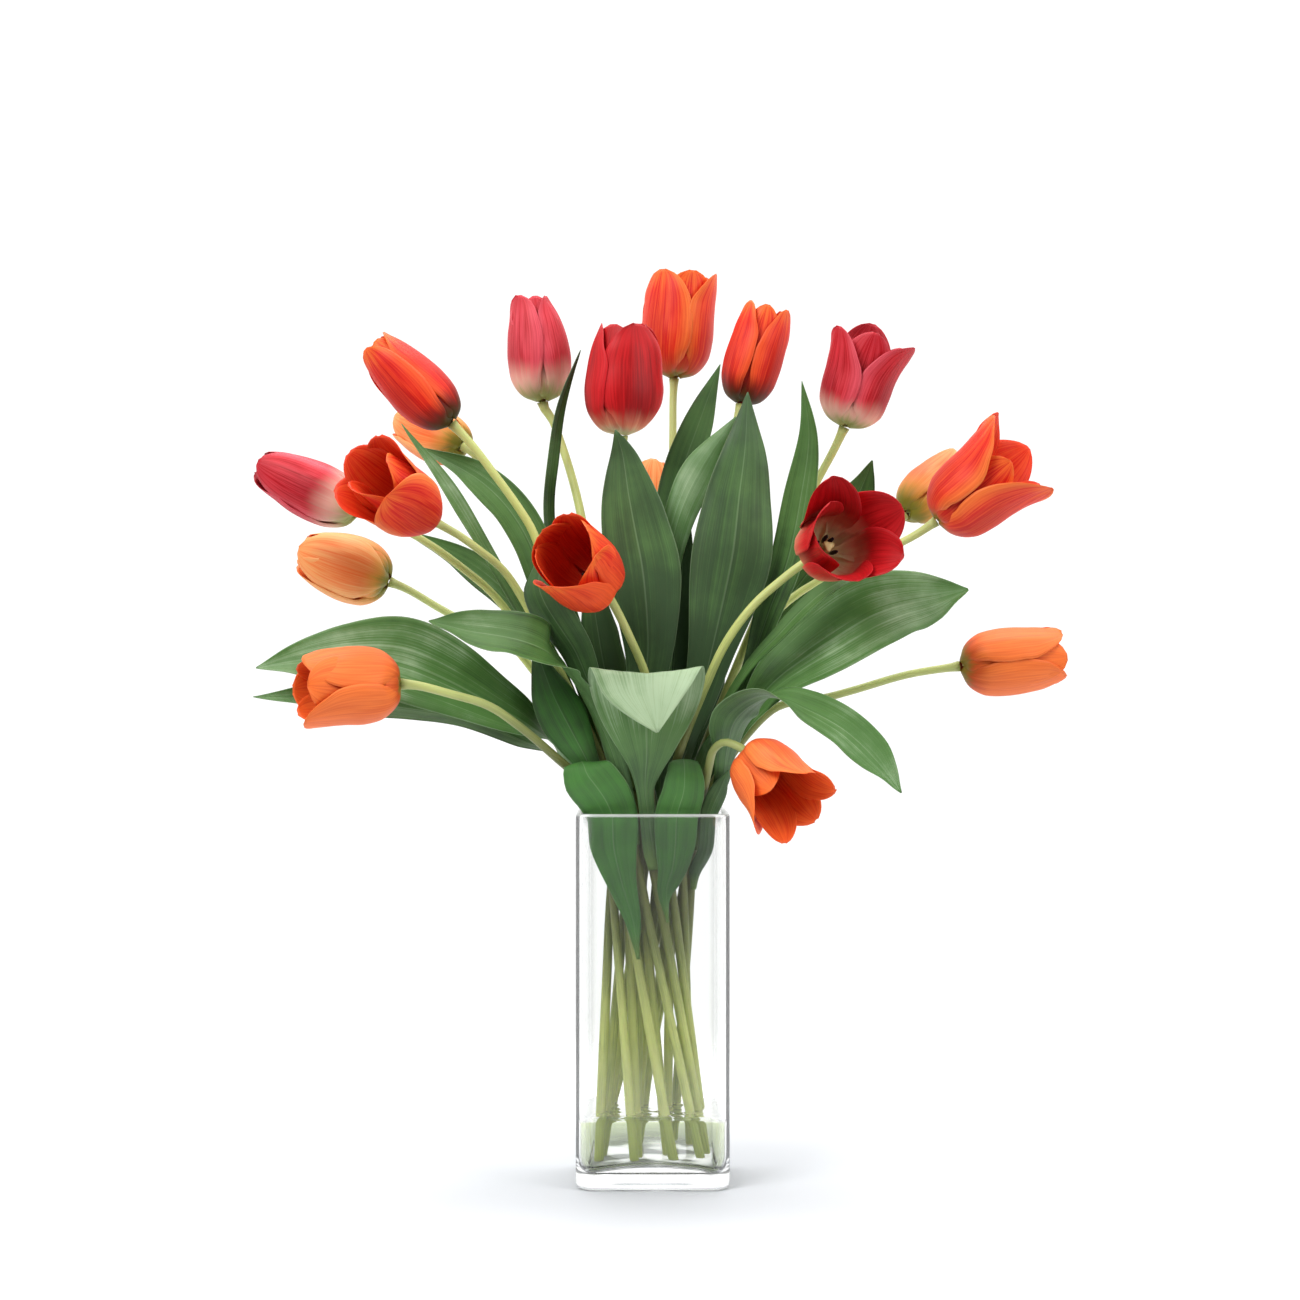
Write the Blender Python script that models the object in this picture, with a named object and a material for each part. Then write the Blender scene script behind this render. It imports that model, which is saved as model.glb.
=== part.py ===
"""Tulips in a square glass vase.

A clear glass vase with a heavy base holds a little water and eighteen cut tulips. The stems cross
in a spiral half way down the vase and fan out above its rim. Broad leaves clasp the stems and
fold outwards between the heads.

Run it with: blender --background --python part.py

Lengths are metres, or millimetres in the two tables of flowers and leaves. +Z is up, -Y is the
front, and the origin is the middle of the vase's underside.
"""

import math
from bisect import bisect_right
from collections import namedtuple

import bpy
from mathutils import Quaternion, Vector

MM = 0.001
GAP = 0.3 * MM  # clearance between pieces that rest on each other
UP = Vector((0, 0, 1))
FRONT = Vector((0, -1, 0))

# Vase
VASE_WIDTH = 102 * MM
VASE_HEIGHT = 248 * MM
VASE_WALL = 4.5 * MM
VASE_CORNER = 13 * MM
BASE_THICKNESS = 15 * MM
FOOT_FILLET = 5 * MM
FLOOR_FILLET = 7 * MM
FLOOR_DIP = 7 * MM  # how much lower the floor is in its corners than in its middle
CORNER_STEPS = 5
SIDE_STEPS = 4

# Water
WATER_LEVEL = 47 * MM
WATER_GAP = 1 * MM  # wider than GAP, for the facets of the floor's fillet
HOLE_OVERLAP = 8 * MM  # how far a stem's hole in the water runs out below its foot
HOLE_REACH = 45 * MM  # the place along a stem that its hole is aimed at

# Spiral of stems inside the vase: straight lines that cross about half way down
BUNDLE_MIDDLE = -11 * MM  # how far behind the axis the middle of the bundle passes the rim
SIDE_SPREAD = 2.0  # sideways place of a foot, per unit of how far its stem is to the front at the rim
DEPTH_SPREAD = 1.2  # depth of a foot, per unit of how far its stem is to the right at the rim
SPIRAL_HEIGHTS = (80 * MM, 150 * MM, 210 * MM, VASE_HEIGHT)

# Stems
STEM_SIDES = 8
STEM_FOOT_RADIUS = 3.3 * MM
STEM_NECK_RADIUS = 2.6 * MM
STEM_SWELL = 0.04 * MM
LONGEST_STEP = 42 * MM
SHORTEST_STEP = 8 * MM
SHARPEST_TURN = math.radians(8)
BEND_SAMPLES = 240  # places along a stem where its bend is looked at

# Heads
BLOOM_BASE_RADIUS = 4.2 * MM
SHOULDER_SHARE = 0.36  # height of the widest place, as a share of the head's length
SEAM_SHARE = 0.84  # length of the seam between two petals, as a share of a petal's upper part
LEAN_STEPS = 12  # straight steps of a petal's upper part, every fourth of them a ring of the head
PETAL_THICKNESS = 1.3 * MM
FLOOR_THICKNESS = 3.25 * MM
DIMPLE = 0.5 * MM

# Leaves
LEAF_THICKNESS = 0.9 * MM
CLASP_HALF_ANGLE = math.radians(72)
CLASP_LENGTH = 9 * MM
CLASP_SPREADS = (1.08, 1.4)  # radius of the clasp at its start and its end, per unit of the tightest
CLASP_SAMPLES = 400  # places along a stem among which a clasp's height is found
LEAF_STEP = 15 * MM
TIP_SHARE = 0.25  # how far the last ring is from the tip, as a share of the step before it
NARROWEST_HALF = 0.6 * MM
FLATTEST_CURL = 2.0  # per metre
EDGE_THINNING = 0.25

# A tulip: where its stem passes the rim, points the stem passes above it, the base of the head, the
# way the head points, its length and radius, the lean of its petals' tips in degrees from the
# head's axis (six, or one for all), the turn of the first petal about the axis, and its colour.
Tulip = namedtuple("Tulip", "rim via base axis length radius lean turn colour")

TULIPS = [
    Tulip((-19, -6), [(-79, -34, 433), (-96, -38, 460), (-120, -38, 492)], (-133, -36, 506),
          (-0.70, -0.05, 0.71), 76, 20, -24, 20, "flame"),
    Tulip((-13, 6), [(-63, 12, 390), (-105, 32, 464)], (-130, 42, 496),
          (-0.70, 0.62, 0.30), 68, 19, -28, 0, "peach"),
    Tulip((-31, -5), [(-97, -34, 382), (-142, -36, 422), (-172, -32, 439)], (-195, -28, 448),
          (-0.90, 0.0, 0.42), 76, 20, -26, 0, "crimson"),
    Tulip((-18, -27), [(-92, -50, 400), (-121, -68, 427)], (-144, -74, 441),
          (-0.60, -0.68, 0.42), 64, 22, (24, 14, 0, -16, -8, 16), 60, "orange"),
    Tulip((-26, 7), [(-90, 20, 353), (-140, 36, 381)], (-181, 40, 403),
          (-0.94, 0.08, 0.32), 68, 23.5, -34, 0, "peach"),
    Tulip((-28, -18), [(-62, -48, 284), (-103, -78, 318), (-128, -88, 327)], (-163, -90, 334),
          (-0.93, -0.36, -0.03), 67, 25, (-2, -14, -20, -18, -14, 0), 0, "orange"),
    Tulip((-6, -5), [(-42, -8, 416), (-54, 6, 471), (-68, 18, 512)], (-75, 20, 525),
          (-0.08, 0.0, 1.0), 74, 21.5, (-26, -32, -28, -20, -14, -20), 10, "crimson"),
    Tulip((-12, -16), [(-14, -22, 389), (-19, -24, 456)], (-20, -24, 499),
          (0.02, -0.10, 1.0), 76, 26, -25, 30, "red"),
    Tulip((6, -5), [(13, 12, 431), (14, 50, 501)], (15, 64, 545),
          (0.07, 0.0, 1.0), 74, 25, (-4, 0, 2, -10, -14, -10), 20, "orange"),
    Tulip((12, -16), [(38, -14, 416), (53, 6, 492)], (60, 16, 523),
          (0.26, 0.0, 0.97), 70, 19.5, (-14, -12, -14, -16, -16, -14), 0, "flame"),
    Tulip((19, -6), [(75, -10, 390), (99, -6, 443), (114, -6, 477)], (129, -6, 506),
          (0.28, -0.10, 0.95), 66, 24, (6, 34, 28, 4, 8, 10), 0, "crimson"),
    Tulip((0, 6), [(2, 50, 345), (-7, 98, 398)], (-9, 116, 429),
          (0.16, 0.10, 0.98), 66, 18, -30, 0, "peach"),
    Tulip((-6, -29), [(-3, -50, 330), (-14, -62, 362)], (-32, -70, 395),
          (-0.42, -0.80, 0.44), 66, 24, (-4, -18, -14, -6, -16, -10), 0, "flame"),
    Tulip((6, -29), [(41, -56, 347), (62, -66, 381), (88, -68, 405)], (108, -71, 419),
          (0.24, -0.94, 0.18), 60, 24.5, (38, 26, 34, 36, 34, 34), 0, "red"),
    Tulip((19, -24), [(99, -14, 376), (138, -18, 412), (167, -22, 428)], (189, -26, 442),
          (0.76, -0.22, 0.61), 76, 27, (16, 20, 12, 18, 22, 20), 0, "orange"),
    Tulip((26, 7), [(80, 16, 376), (135, 28, 417), (160, 31, 438)], (173, 34, 449),
          (0.64, 0.46, 0.62), 62, 18, -18, 0, "peach"),
    Tulip((31, -4), [(79, 10, 314), (124, 16, 325), (168, 18, 338)], (209, 18, 345),
          (0.98, 0.08, 0.10), 71, 23, (-6, -14, -10, -16, -8, -12), 0, "orange"),
    Tulip((29, -18), [(34, -32, 264), (37, -44, 279), (40, -58, 291), (48, -70, 296)], (63, -83, 288),
          (0.42, -0.76, -0.50), 66, 23, (12, 6, 18, 10, 14, 20), 0, "orange"),
]

# A leaf: the tulip whose stem it clasps and the height of the clasp, then its midrib with the
# blade's width there as (x, y, z, width), the way its upper side faces (one direction, or one for
# each point of the midrib), and how deeply it is channelled, as a share of its half width.
Leaf = namedtuple("Leaf", "tulip clasp midrib faces channel")

AWAY = (0, 1, 0)

LEAVES = [
    # tall blades in the middle
    Leaf(8, 262, [(-10, -30, 294, 13), (-7, -37, 323, 22), (-3, -42, 356, 34), (-6, -42, 405, 50),
                  (-12, -42, 438, 45), (-16, -42, 460, 36), (-20, -42, 486, 17), (-25, -45, 502, 0)],
         [(0.15, 1, 0)], 0.16),
    Leaf(10, 262, [(22, -30, 294, 14), (31, -34, 323, 22), (39, -38, 356, 32), (48, -39, 396, 49),
                   (53, -40, 422, 54), (57, -39, 458, 44), (61, -38, 490, 28), (63, -34, 528, 0)],
         [(-0.1, 1, 0)], 0.16),
    Leaf(9, 246, [(14, -10, 363, 20), (12, -5, 417, 26), (18, 4, 470, 26), (32, 6, 512, 20), (46, 2, 550, 0)],
         [(-0.3, 1, 0)], 0.2),
    Leaf(10, 222, [(4, -23, 290, 10), (7, -25, 350, 12), (10, -27, 409, 16), (18, -29, 446, 22),
                   (33, -30, 478, 24), (56, -29, 512, 0)],
         [(0.1, 1, -0.1)], 0.2),
    Leaf(11, 235, [(62, -12, 336, 10), (78, -22, 383, 20), (90, -25, 416, 24), (99, -27, 460, 24),
                   (104, -28, 500, 14), (99, -28, 536, 0)],
         [(-0.2, -1, 0), (-0.5, -1, 0)], 0.3),
    Leaf(16, 235, [(73, 34, 363, 14), (100, 38, 400, 22), (124, 38, 431, 28), (141, 36, 462, 24),
                   (151, 32, 487, 0)],
         [(0.3, -1, 0.3)], 0.2),
    # right side
    Leaf(17, 225, [(57, -30, 300, 13), (76, -42, 331, 37), (97, -45, 349, 53), (119, -52, 364, 62),
                   (144, -58, 379, 61), (165, -58, 386, 50), (185, -57, 390, 35), (208, -55, 396, 0)],
         [(-0.5, -0.5, 0.3), (-0.2, -0.88, 0.42)], 0.16),
    Leaf(18, 222, [(46, -26, 268, 12), (49, -46, 292, 20), (55, -70, 313, 36), (76, -77, 326, 42),
                   (99, -79, 318, 36), (124, -82, 304, 32), (143, -84, 286, 28), (161, -87, 263, 0)],
         [(-0.4, 0.9, 0.1), (-0.4, 0.85, 0.3), (-0.3, 0.6, 0.7), (-0.05, 0.1, 1), (0.15, -0.5, 0.85),
          (0.2, -0.75, 0.6), (0.25, -0.8, 0.5), (0.25, -0.85, 0.45)], 0.2),
    # left side
    Leaf(4, 226, [(-25, -46, 284, 14), (-37, -48, 313, 18), (-55, -58, 340, 30), (-70, -74, 356, 36),
                  (-93, -77, 364, 34), (-118, -79, 368, 28), (-146, -80, 375, 0)],
         [(0.3, 0.9, 0.2), (0.3, 0.4, 0.7), (0.2, -0.2, 0.9), (0.15, -0.6, 0.8), (0.1, -0.65, 0.75),
          (0.1, -0.65, 0.75), (0.1, -0.65, 0.75)], 0.2),
    # front blade whose tip folds down
    Leaf(13, 210, [(-5, -46, 264, 12), (-4, -56, 285, 31), (-4, -63, 306, 56), (-4, -67, 325, 72),
                   (-4, -71, 338, 77), (-4, -78, 342, 74), (-3, -84, 330, 58), (0, -86, 316, 31),
                   (3, -86, 302, 0)],
         [AWAY, AWAY, AWAY, AWAY, (0, 0.8, 0.5), (0, -0.1, 1), (0, -0.95, 0.3), (0, -1, 0.1),
          (0, -1, 0.1)], 0.12),
    Leaf(3, 220, [(-50, -20, 266, 16), (-62, -27, 289, 22), (-81, -37, 305, 36), (-106, -46, 320, 42),
                  (-139, -52, 338, 58), (-168, -54, 349, 62), (-200, -54, 352, 46), (-230, -52, 350, 27),
                  (-262, -50, 344, 0)],
         [(0.5, 0.6, 0.4), (0.3, 0.1, 0.9), (0.2, -0.5, 0.8), (0.15, -0.8, 0.5), (0.1, -0.88, 0.45),
          (0.1, -0.88, 0.45), (0.1, -0.88, 0.45), (0.1, -0.88, 0.45), (0.1, -0.88, 0.45)], 0.15),
    Leaf(5, 225, [(-60, 0, 280, 14), (-89, -12, 296, 17), (-128, -22, 311, 22), (-168, -28, 318, 28),
                  (-207, -32, 323, 30), (-266, -34, 325, 0)],
         [(0.3, 0.2, 0.9), (0.1, -0.7, 0.7), (0.1, -0.7, 0.7), (0.1, -0.7, 0.7), (0.1, -0.7, 0.7),
          (0.1, -0.7, 0.7)], 0.2),
    Leaf(1, 238, [(-62, -28, 336, 12), (-84, -36, 373, 14), (-109, -46, 418, 15), (-133, -57, 459, 15),
                  (-165, -62, 505, 0)],
         [(0.6, -0.3, 0.5), (0.5, -0.7, 0.5)], 0.3),
    Leaf(1, 280, [(-53, -9, 349, 14), (-70, -10, 390, 24), (-82, -12, 426, 30), (-97, -12, 451, 31),
                  (-118, -12, 471, 26), (-158, -8, 493, 0)],
         [(0.3, -0.8, 0.5)], 0.25),
    Leaf(3, 264, [(-66, -9, 346, 14), (-85, -18, 376, 24), (-104, -19, 396, 30), (-124, -21, 412, 27),
                  (-168, -26, 437, 0)],
         [(0.4, -0.6, 0.5)], 0.2),
    Leaf(7, 240, [(-58, 3, 390, 10), (-68, 4, 423, 11), (-71, -2, 453, 12), (-68, -10, 482, 12),
                  (-62, -8, 520, 9), (-48, -6, 559, 0)],
         [(0.75, -0.65, 0)], 0.3),
    Leaf(6, 225, [(-35, -35, 262, 10), (-39, -40, 273, 14), (-46, -45, 288, 21), (-56, -48, 307, 32),
                  (-66, -48, 327, 29), (-79, -52, 363, 0)],
         [(-0.3, 0.9, 0.2)], 0.2),
    # short blades whose tips fold back at the rim
    Leaf(6, 150, [(-13, -31, 176, 12), (-21, -36, 204, 21), (-26, -38, 228, 32), (-27, -40, 247, 34),
                  (-34, -49, 262, 36), (-43, -54, 274, 34), (-47, -50, 282, 26), (-49, -45, 274, 0)],
         [AWAY, AWAY, AWAY, AWAY, AWAY, (0, 0.8, -0.3), (0, 0.1, -1), (0, -1, 0)], 0.12),
    Leaf(13, 174, [(9, -30, 197, 13), (13, -35, 211, 20), (15, -39, 228, 27), (16, -41, 247, 29),
                   (20, -46, 261, 28), (21, -49, 275, 24), (20, -45, 284, 16), (19, -40, 278, 0)],
         [AWAY, AWAY, AWAY, AWAY, AWAY, (0, 0.8, -0.3), (0, 0.1, -1), (0, -1, 0)], 0.12),
    Leaf(18, 196, [(36, -27, 224, 13), (38, -31, 247, 14), (44, -34, 262, 14),
                   (50, -36, 277, 0)],
         [(-0.5, 0.9, 0)], 0.2),
    Leaf(8, 284, [(-38, -41, 326, 16), (-51, -52, 356, 24), (-64, -60, 376, 28),
                  (-74, -64, 396, 27), (-72, -62, 421, 0)],
         [(0.3, 0.9, 0.2)], 0.2),
    Leaf(15, 262, [(47, -40, 318, 11), (65, -52, 347, 16), (82, -60, 365, 22), (100, -64, 384, 26),
                   (120, -66, 399, 22), (160, -62, 412, 0)],
         [(-0.5, -0.7, 0.5)], 0.2),
]

COLOURS = {
    "orange": (0.93, 0.22, 0.05),
    "flame": (0.86, 0.11, 0.05),
    "peach": (0.95, 0.36, 0.14),
    "red": (0.72, 0.03, 0.04),
    "crimson": (0.62, 0.03, 0.07),
    "leaf": (0.08, 0.22, 0.06),
    "stem": (0.38, 0.47, 0.15),
    "glass": (0.88, 0.96, 0.92),
    "water": (0.80, 0.92, 0.84),
}


# ---------------------------------------------------------------------------------------------
# Curves
# ---------------------------------------------------------------------------------------------


class Course:
    """A smooth course through points, measured along its chords. Other values can follow it."""

    def __init__(self, points, end_slope=None):
        self.points = points
        self.end_slope = end_slope
        self.knots = [0.0]
        for before, after in zip(points, points[1:]):
            self.knots.append(self.knots[-1] + (after - before).length)
        self.length = self.knots[-1]

    def follow(self, values, place, end_slope=None):
        """The values, one for each point, read at a place along the course."""
        knots = self.knots
        i = min(max(bisect_right(knots, place) - 1, 0), len(knots) - 2)
        span = knots[i + 1] - knots[i]
        u = (place - knots[i]) / span
        start, end = self._slope(values, i, end_slope), self._slope(values, i + 1, end_slope)
        return (
            values[i] * (1 + 2 * u) * (1 - u) ** 2
            + start * span * u * (1 - u) ** 2
            + values[i + 1] * u * u * (3 - 2 * u)
            - end * span * u * u * (1 - u)
        )

    def at(self, place):
        return self.follow(self.points, place, self.end_slope)

    def along(self, place, step=0.5 * MM):
        """The direction of the course."""
        low, high = max(place - step, 0), min(place + step, self.length)
        return (self.at(high) - self.at(low)).normalized()

    def _slope(self, values, i, end_slope):
        last = len(values) - 1
        if i == last and end_slope is not None:
            return end_slope
        before, after = max(i - 1, 0), min(i + 1, last)
        return (values[after] - values[before]) / (self.knots[after] - self.knots[before])


def millimetres(values):
    return Vector(values) * MM


def square_to(direction, axis):
    """The part of a direction that is at right angles to the axis, as a unit vector."""
    return (direction - axis * direction.dot(axis)).normalized()


# ---------------------------------------------------------------------------------------------
# Meshes and materials
# ---------------------------------------------------------------------------------------------


def skin(name, rings, start=None, end=None, two_sided=False):
    """A closed mesh over rings of points, closed by a fan to a point or by a flat face at each end.

    The rings of a two_sided mesh go out over its upper side and back over its under side. Both
    sides are split into triangles along the same lines, so that they never cross where it twists.
    """
    points = [point for ring in rings for point in ring]
    around = len(rings[0])
    faces = []
    for row in range(len(rings) - 1):
        for i in range(around):
            a, b = row * around + i, row * around + (i + 1) % around
            c, d = b + around, a + around
            if not two_sided:
                faces.append((a, b, c, d))
            elif i < around // 2:
                faces += [(a, b, c), (a, c, d)]
            else:
                faces += [(a, b, d), (b, c, d)]
    ends = ((start, 0, -1), (end, (len(rings) - 1) * around, 1))
    for tip, first, way in ends:
        edge = [first + i for i in range(around)][::way]
        if tip is None:
            faces.append(edge)
            continue
        points.append(tip)
        faces += [(edge[i], edge[(i + 1) % around], len(points) - 1) for i in range(around)]
    mesh = bpy.data.meshes.new(name)
    mesh.from_pydata([tuple(point) for point in points], [], faces)
    mesh.validate()
    return mesh


def finish(name, colour, roughness, transmission=0.0, tint=1.0):
    """A plain material for one sub-part."""
    material = bpy.data.materials.new(name)
    material.use_nodes = True
    shader = material.node_tree.nodes["Principled BSDF"]
    shader.inputs["Base Color"].default_value = [channel * tint for channel in COLOURS[colour]] + [1]
    shader.inputs["Roughness"].default_value = roughness
    shader.inputs["Metallic"].default_value = 0.0
    shader.inputs["Transmission Weight"].default_value = transmission
    material.diffuse_color = shader.inputs["Base Color"].default_value
    return material


def place(name, mesh, material, parent, sharp_degrees=60):
    """One named sub-part, shaded smooth and parented to the arrangement."""
    piece = bpy.data.objects.new(name, mesh)
    bpy.context.scene.collection.objects.link(piece)
    mesh.materials.append(material)
    mesh.shade_smooth()
    mesh.set_sharp_from_angle(angle=math.radians(sharp_degrees))
    piece.parent = parent
    return piece


# ---------------------------------------------------------------------------------------------
# Vase and water
# ---------------------------------------------------------------------------------------------


def rounded_square(half, corner, height):
    """Points round a square with round corners. The height is a number, or a function of x and y."""
    points = []
    straight = half - corner
    for quarter in range(4):
        turn = Quaternion(UP, quarter * math.pi / 2)
        for step in range(CORNER_STEPS + 1):
            angle = math.pi / 2 * step / CORNER_STEPS
            points.append(turn @ Vector((straight + corner * math.cos(angle),
                                         straight + corner * math.sin(angle), 0)))
        for step in range(1, SIDE_STEPS):
            share = 1 - 2 * step / SIDE_STEPS
            points.append(turn @ Vector((straight * share, half, 0)))
    for point in points:
        point.z = height(point.x, point.y) if callable(height) else height
    return points


def floor_height(x, y):
    """The vase's inner floor, level in the middle and dipping into its four corners."""
    half = VASE_WIDTH / 2 - VASE_WALL
    return BASE_THICKNESS - FLOOR_DIP * (abs(x * y) / half**2) ** 2


def cavity_rings(inset, top):
    """Rings from the top of the vase's inside down its walls, round the fillet and over the floor."""
    half = VASE_WIDTH / 2 - VASE_WALL - inset
    corner = VASE_CORNER - VASE_WALL - inset
    fillet_top = BASE_THICKNESS + FLOOR_FILLET
    rings = [rounded_square(half, corner, top), rounded_square(half, corner, fillet_top)]
    for step in (1, 2, 3):
        angle = math.pi / 2 * step / 3
        inward = FLOOR_FILLET * (1 - math.cos(angle))
        rise = FLOOR_FILLET * (1 - math.sin(angle)) + inset
        lowered = math.sin(angle)

        def fillet(x, y, rise=rise, lowered=lowered):
            return BASE_THICKNESS + rise + (floor_height(x, y) - BASE_THICKNESS) * lowered

        rings.append(rounded_square(half - inward, max(corner - inward, MM), fillet))
    for share in (0.6, 0.25):
        rings.append(rounded_square(half * share, corner * share,
                                    lambda x, y: floor_height(x, y) + inset))
    return rings


def build_vase(parent):
    half = VASE_WIDTH / 2
    rings = []
    for step in range(4):
        angle = math.pi / 2 * step / 3
        inward = FOOT_FILLET * (1 - math.sin(angle))
        rings.append(rounded_square(half - inward, VASE_CORNER - inward, FOOT_FILLET * (1 - math.cos(angle))))
    rim = VASE_WALL / 2
    for step in range(5):
        angle = math.pi * step / 4
        inward = rim * (1 - math.cos(angle))
        height = VASE_HEIGHT - rim + rim * math.sin(angle)
        rings.append(rounded_square(half - inward, VASE_CORNER - inward, height))
    rings += cavity_rings(0, VASE_HEIGHT - rim)[1:]
    mesh = skin("vase", rings, end=Vector((0, 0, BASE_THICKNESS + 0.05 * MM)))
    return place("vase", mesh, finish("vase_glass", "glass", 0.03, 1.0), parent, 35)


def build_water(parent, courses):
    """The water fills the bottom of the vase and leaves room for the stems that stand in it."""
    rings = cavity_rings(WATER_GAP, WATER_LEVEL)
    mesh = skin("water", rings[::-1], start=Vector((0, 0, BASE_THICKNESS + WATER_GAP + 0.05 * MM)))
    mesh.flip_normals()
    water = place("water", mesh, finish("water", "water", 0.02, 1.0), parent, 35)
    for number, course in enumerate(courses, 1):
        reach = Course([course.points[0] - course.along(0) * HOLE_OVERLAP, course.at(HOLE_REACH)])
        radius = STEM_FOOT_RADIUS + STEM_SWELL + GAP
        hole = tube(f"stem_hole_{number:02d}", reach, lambda share: radius, [0.0, reach.length])
        cutter = bpy.data.objects.new(hole.name, hole)
        bpy.context.scene.collection.objects.link(cutter)
        cutter.parent = parent
        cutter.hide_render = True
        cutter.display_type = "WIRE"
        cut = water.modifiers.new(cutter.name, "BOOLEAN")
        cut.operation = "DIFFERENCE"
        cut.object = cutter
    return water


# ---------------------------------------------------------------------------------------------
# Stems
# ---------------------------------------------------------------------------------------------


def spiral_point(rim_point, height):
    """Where a stem of the spiral that passes the rim at rim_point is at another height.

    The stems at the front of the bundle go down to the right of the vase, those at the left to its
    front, and so on round.
    """
    x, y = rim_point
    foot = Vector((SIDE_SPREAD * (BUNDLE_MIDDLE - y), DEPTH_SPREAD * x))
    share = (VASE_HEIGHT - height) / (VASE_HEIGHT - BASE_THICKNESS)
    spot = Vector((x, y)).lerp(foot, share)
    return Vector((*spot, height))


def stem_course(tulip):
    """The middle line of a stem, from its cut foot on the vase's floor to the base of its head."""
    rim = millimetres((*tulip.rim, 0))
    foot = spiral_point(rim.xy, BASE_THICKNESS)
    reach = STEM_FOOT_RADIUS * 1.2
    foot_height = GAP + max(floor_height(foot.x + x, foot.y + y)
                            for x in (-reach, 0, reach) for y in (-reach, 0, reach))
    points = [spiral_point(rim.xy, height) for height in (foot_height, *SPIRAL_HEIGHTS)]
    points += [millimetres(point) for point in tulip.via]
    axis = Vector(tulip.axis).normalized()
    points.append(millimetres(tulip.base) - axis * GAP)
    return Course(points, end_slope=axis)


def ladder(course, steps):
    """Evenly spaced places along a course."""
    return [course.length * i / steps for i in range(steps + 1)]


def ring_places(course):
    """Places along a course, close together where it bends."""
    fine = ladder(course, BEND_SAMPLES)
    places = [0.0]
    turn = 0.0
    for before, after in zip(fine, fine[1:]):
        turn += course.along(before).angle(course.along(after), 0)
        if after - places[-1] > LONGEST_STEP or turn > SHARPEST_TURN:
            places.append(after)
            turn = 0.0
    if course.length - places[-1] < SHORTEST_STEP:
        places.pop()
    return places + [course.length]


def tube(name, course, radius_at, places, level_foot=False):
    """A round tube along a course. Its ends are dimpled, and a level foot is cut flat to stand on."""
    rings = []
    side = square_to(Vector((1, 0, 0)), course.along(0))
    for place_along in places:
        along = course.along(place_along)
        side = square_to(side, along)
        across = along.cross(side)
        radius = radius_at(place_along / course.length)
        middle = course.at(place_along)
        ring = []
        for i in range(STEM_SIDES):
            angle = 2 * math.pi * i / STEM_SIDES
            point = middle + (side * math.cos(angle) + across * math.sin(angle)) * radius
            if level_foot and place_along == 0:
                point -= along * ((point.z - middle.z) / along.z)
            ring.append(point)
        rings.append(ring)
    start = course.at(0) + course.along(0) * DIMPLE
    end = course.at(course.length) - course.along(course.length) * DIMPLE
    return skin(name, rings, start, end)


def stem_radius(share):
    swell = STEM_SWELL * math.sin(share * 40)
    return STEM_FOOT_RADIUS + (STEM_NECK_RADIUS - STEM_FOOT_RADIUS) * share + swell


def build_stem(number, course, parent):
    name = f"stem_{number:02d}"
    mesh = tube(name, course, stem_radius, ring_places(course), level_foot=True)
    return place(name, mesh, finish(name, "stem", 0.5), parent)


# ---------------------------------------------------------------------------------------------
# Heads
# ---------------------------------------------------------------------------------------------


def petal_line(tulip, lean, seam):
    """The outer line of a petal from base to tip as (radius, height, angle from the axis), where a
    seam is the shorter line between two petals."""
    length, radius = tulip.length * MM, tulip.radius * MM
    shoulder = length * SHOULDER_SHARE
    line = []
    for share in (0, 0.3, 0.65, 1):
        angle = math.pi / 2 * share
        line.append((BLOOM_BASE_RADIUS + (radius - BLOOM_BASE_RADIUS) * math.sin(angle),
                     shoulder * (1 - math.cos(angle)), math.pi / 2 - angle))
    upper = (length - shoulder) * (SEAM_SHARE if seam else 1)
    out, up = radius, shoulder
    for step in range(1, LEAN_STEPS + 1):
        angle = math.radians(lean) * (step - 0.5) / LEAN_STEPS
        out += math.sin(angle) * upper / LEAN_STEPS
        up += math.cos(angle) * upper / LEAN_STEPS
        if step % 4 == 0:
            line.append((out, up, math.radians(lean) * step / LEAN_STEPS))
    return line


def head_frame(tulip):
    """The head's axis, the direction that its petals' turn is counted from, and the third one."""
    axis = Vector(tulip.axis).normalized()
    reference = UP if abs(axis.y) > 0.6 else FRONT
    side = square_to(reference, axis)
    return axis, side, axis.cross(side)


def build_bloom(number, tulip, parent):
    axis, side, across = head_frame(tulip)
    base = millimetres(tulip.base)
    leans = tulip.lean if isinstance(tulip.lean, tuple) else (tulip.lean,) * 6
    outer, inner = [], []
    for column in range(12):
        petal = column // 2
        seam = column % 2 == 1
        lean = (leans[petal] + leans[(petal + 1) % 6]) / 2 if seam else leans[petal]
        turn = math.radians(tulip.turn + 30 * column)
        outward = side * math.cos(turn) + across * math.sin(turn)
        line = petal_line(tulip, lean, seam)
        outer.append([base + outward * out + axis * up for out, up, _ in line])
        lining = []
        for out, up, angle in line[:1:-1]:
            inset_out = out - math.cos(angle) * PETAL_THICKNESS
            lining.append(base + outward * inset_out + axis * (up + math.sin(angle) * PETAL_THICKNESS))
        inner.append(lining)
    rings = [list(ring) for ring in zip(*outer)] + [list(ring) for ring in zip(*inner)]
    floor = base + axis * FLOOR_THICKNESS
    name = f"bloom_{number:02d}"
    mesh = skin(name, rings, base + axis * DIMPLE, floor)
    return place(name, mesh, finish(name, tulip.colour, 0.45), parent, 80)


# ---------------------------------------------------------------------------------------------
# Leaves
# ---------------------------------------------------------------------------------------------


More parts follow.
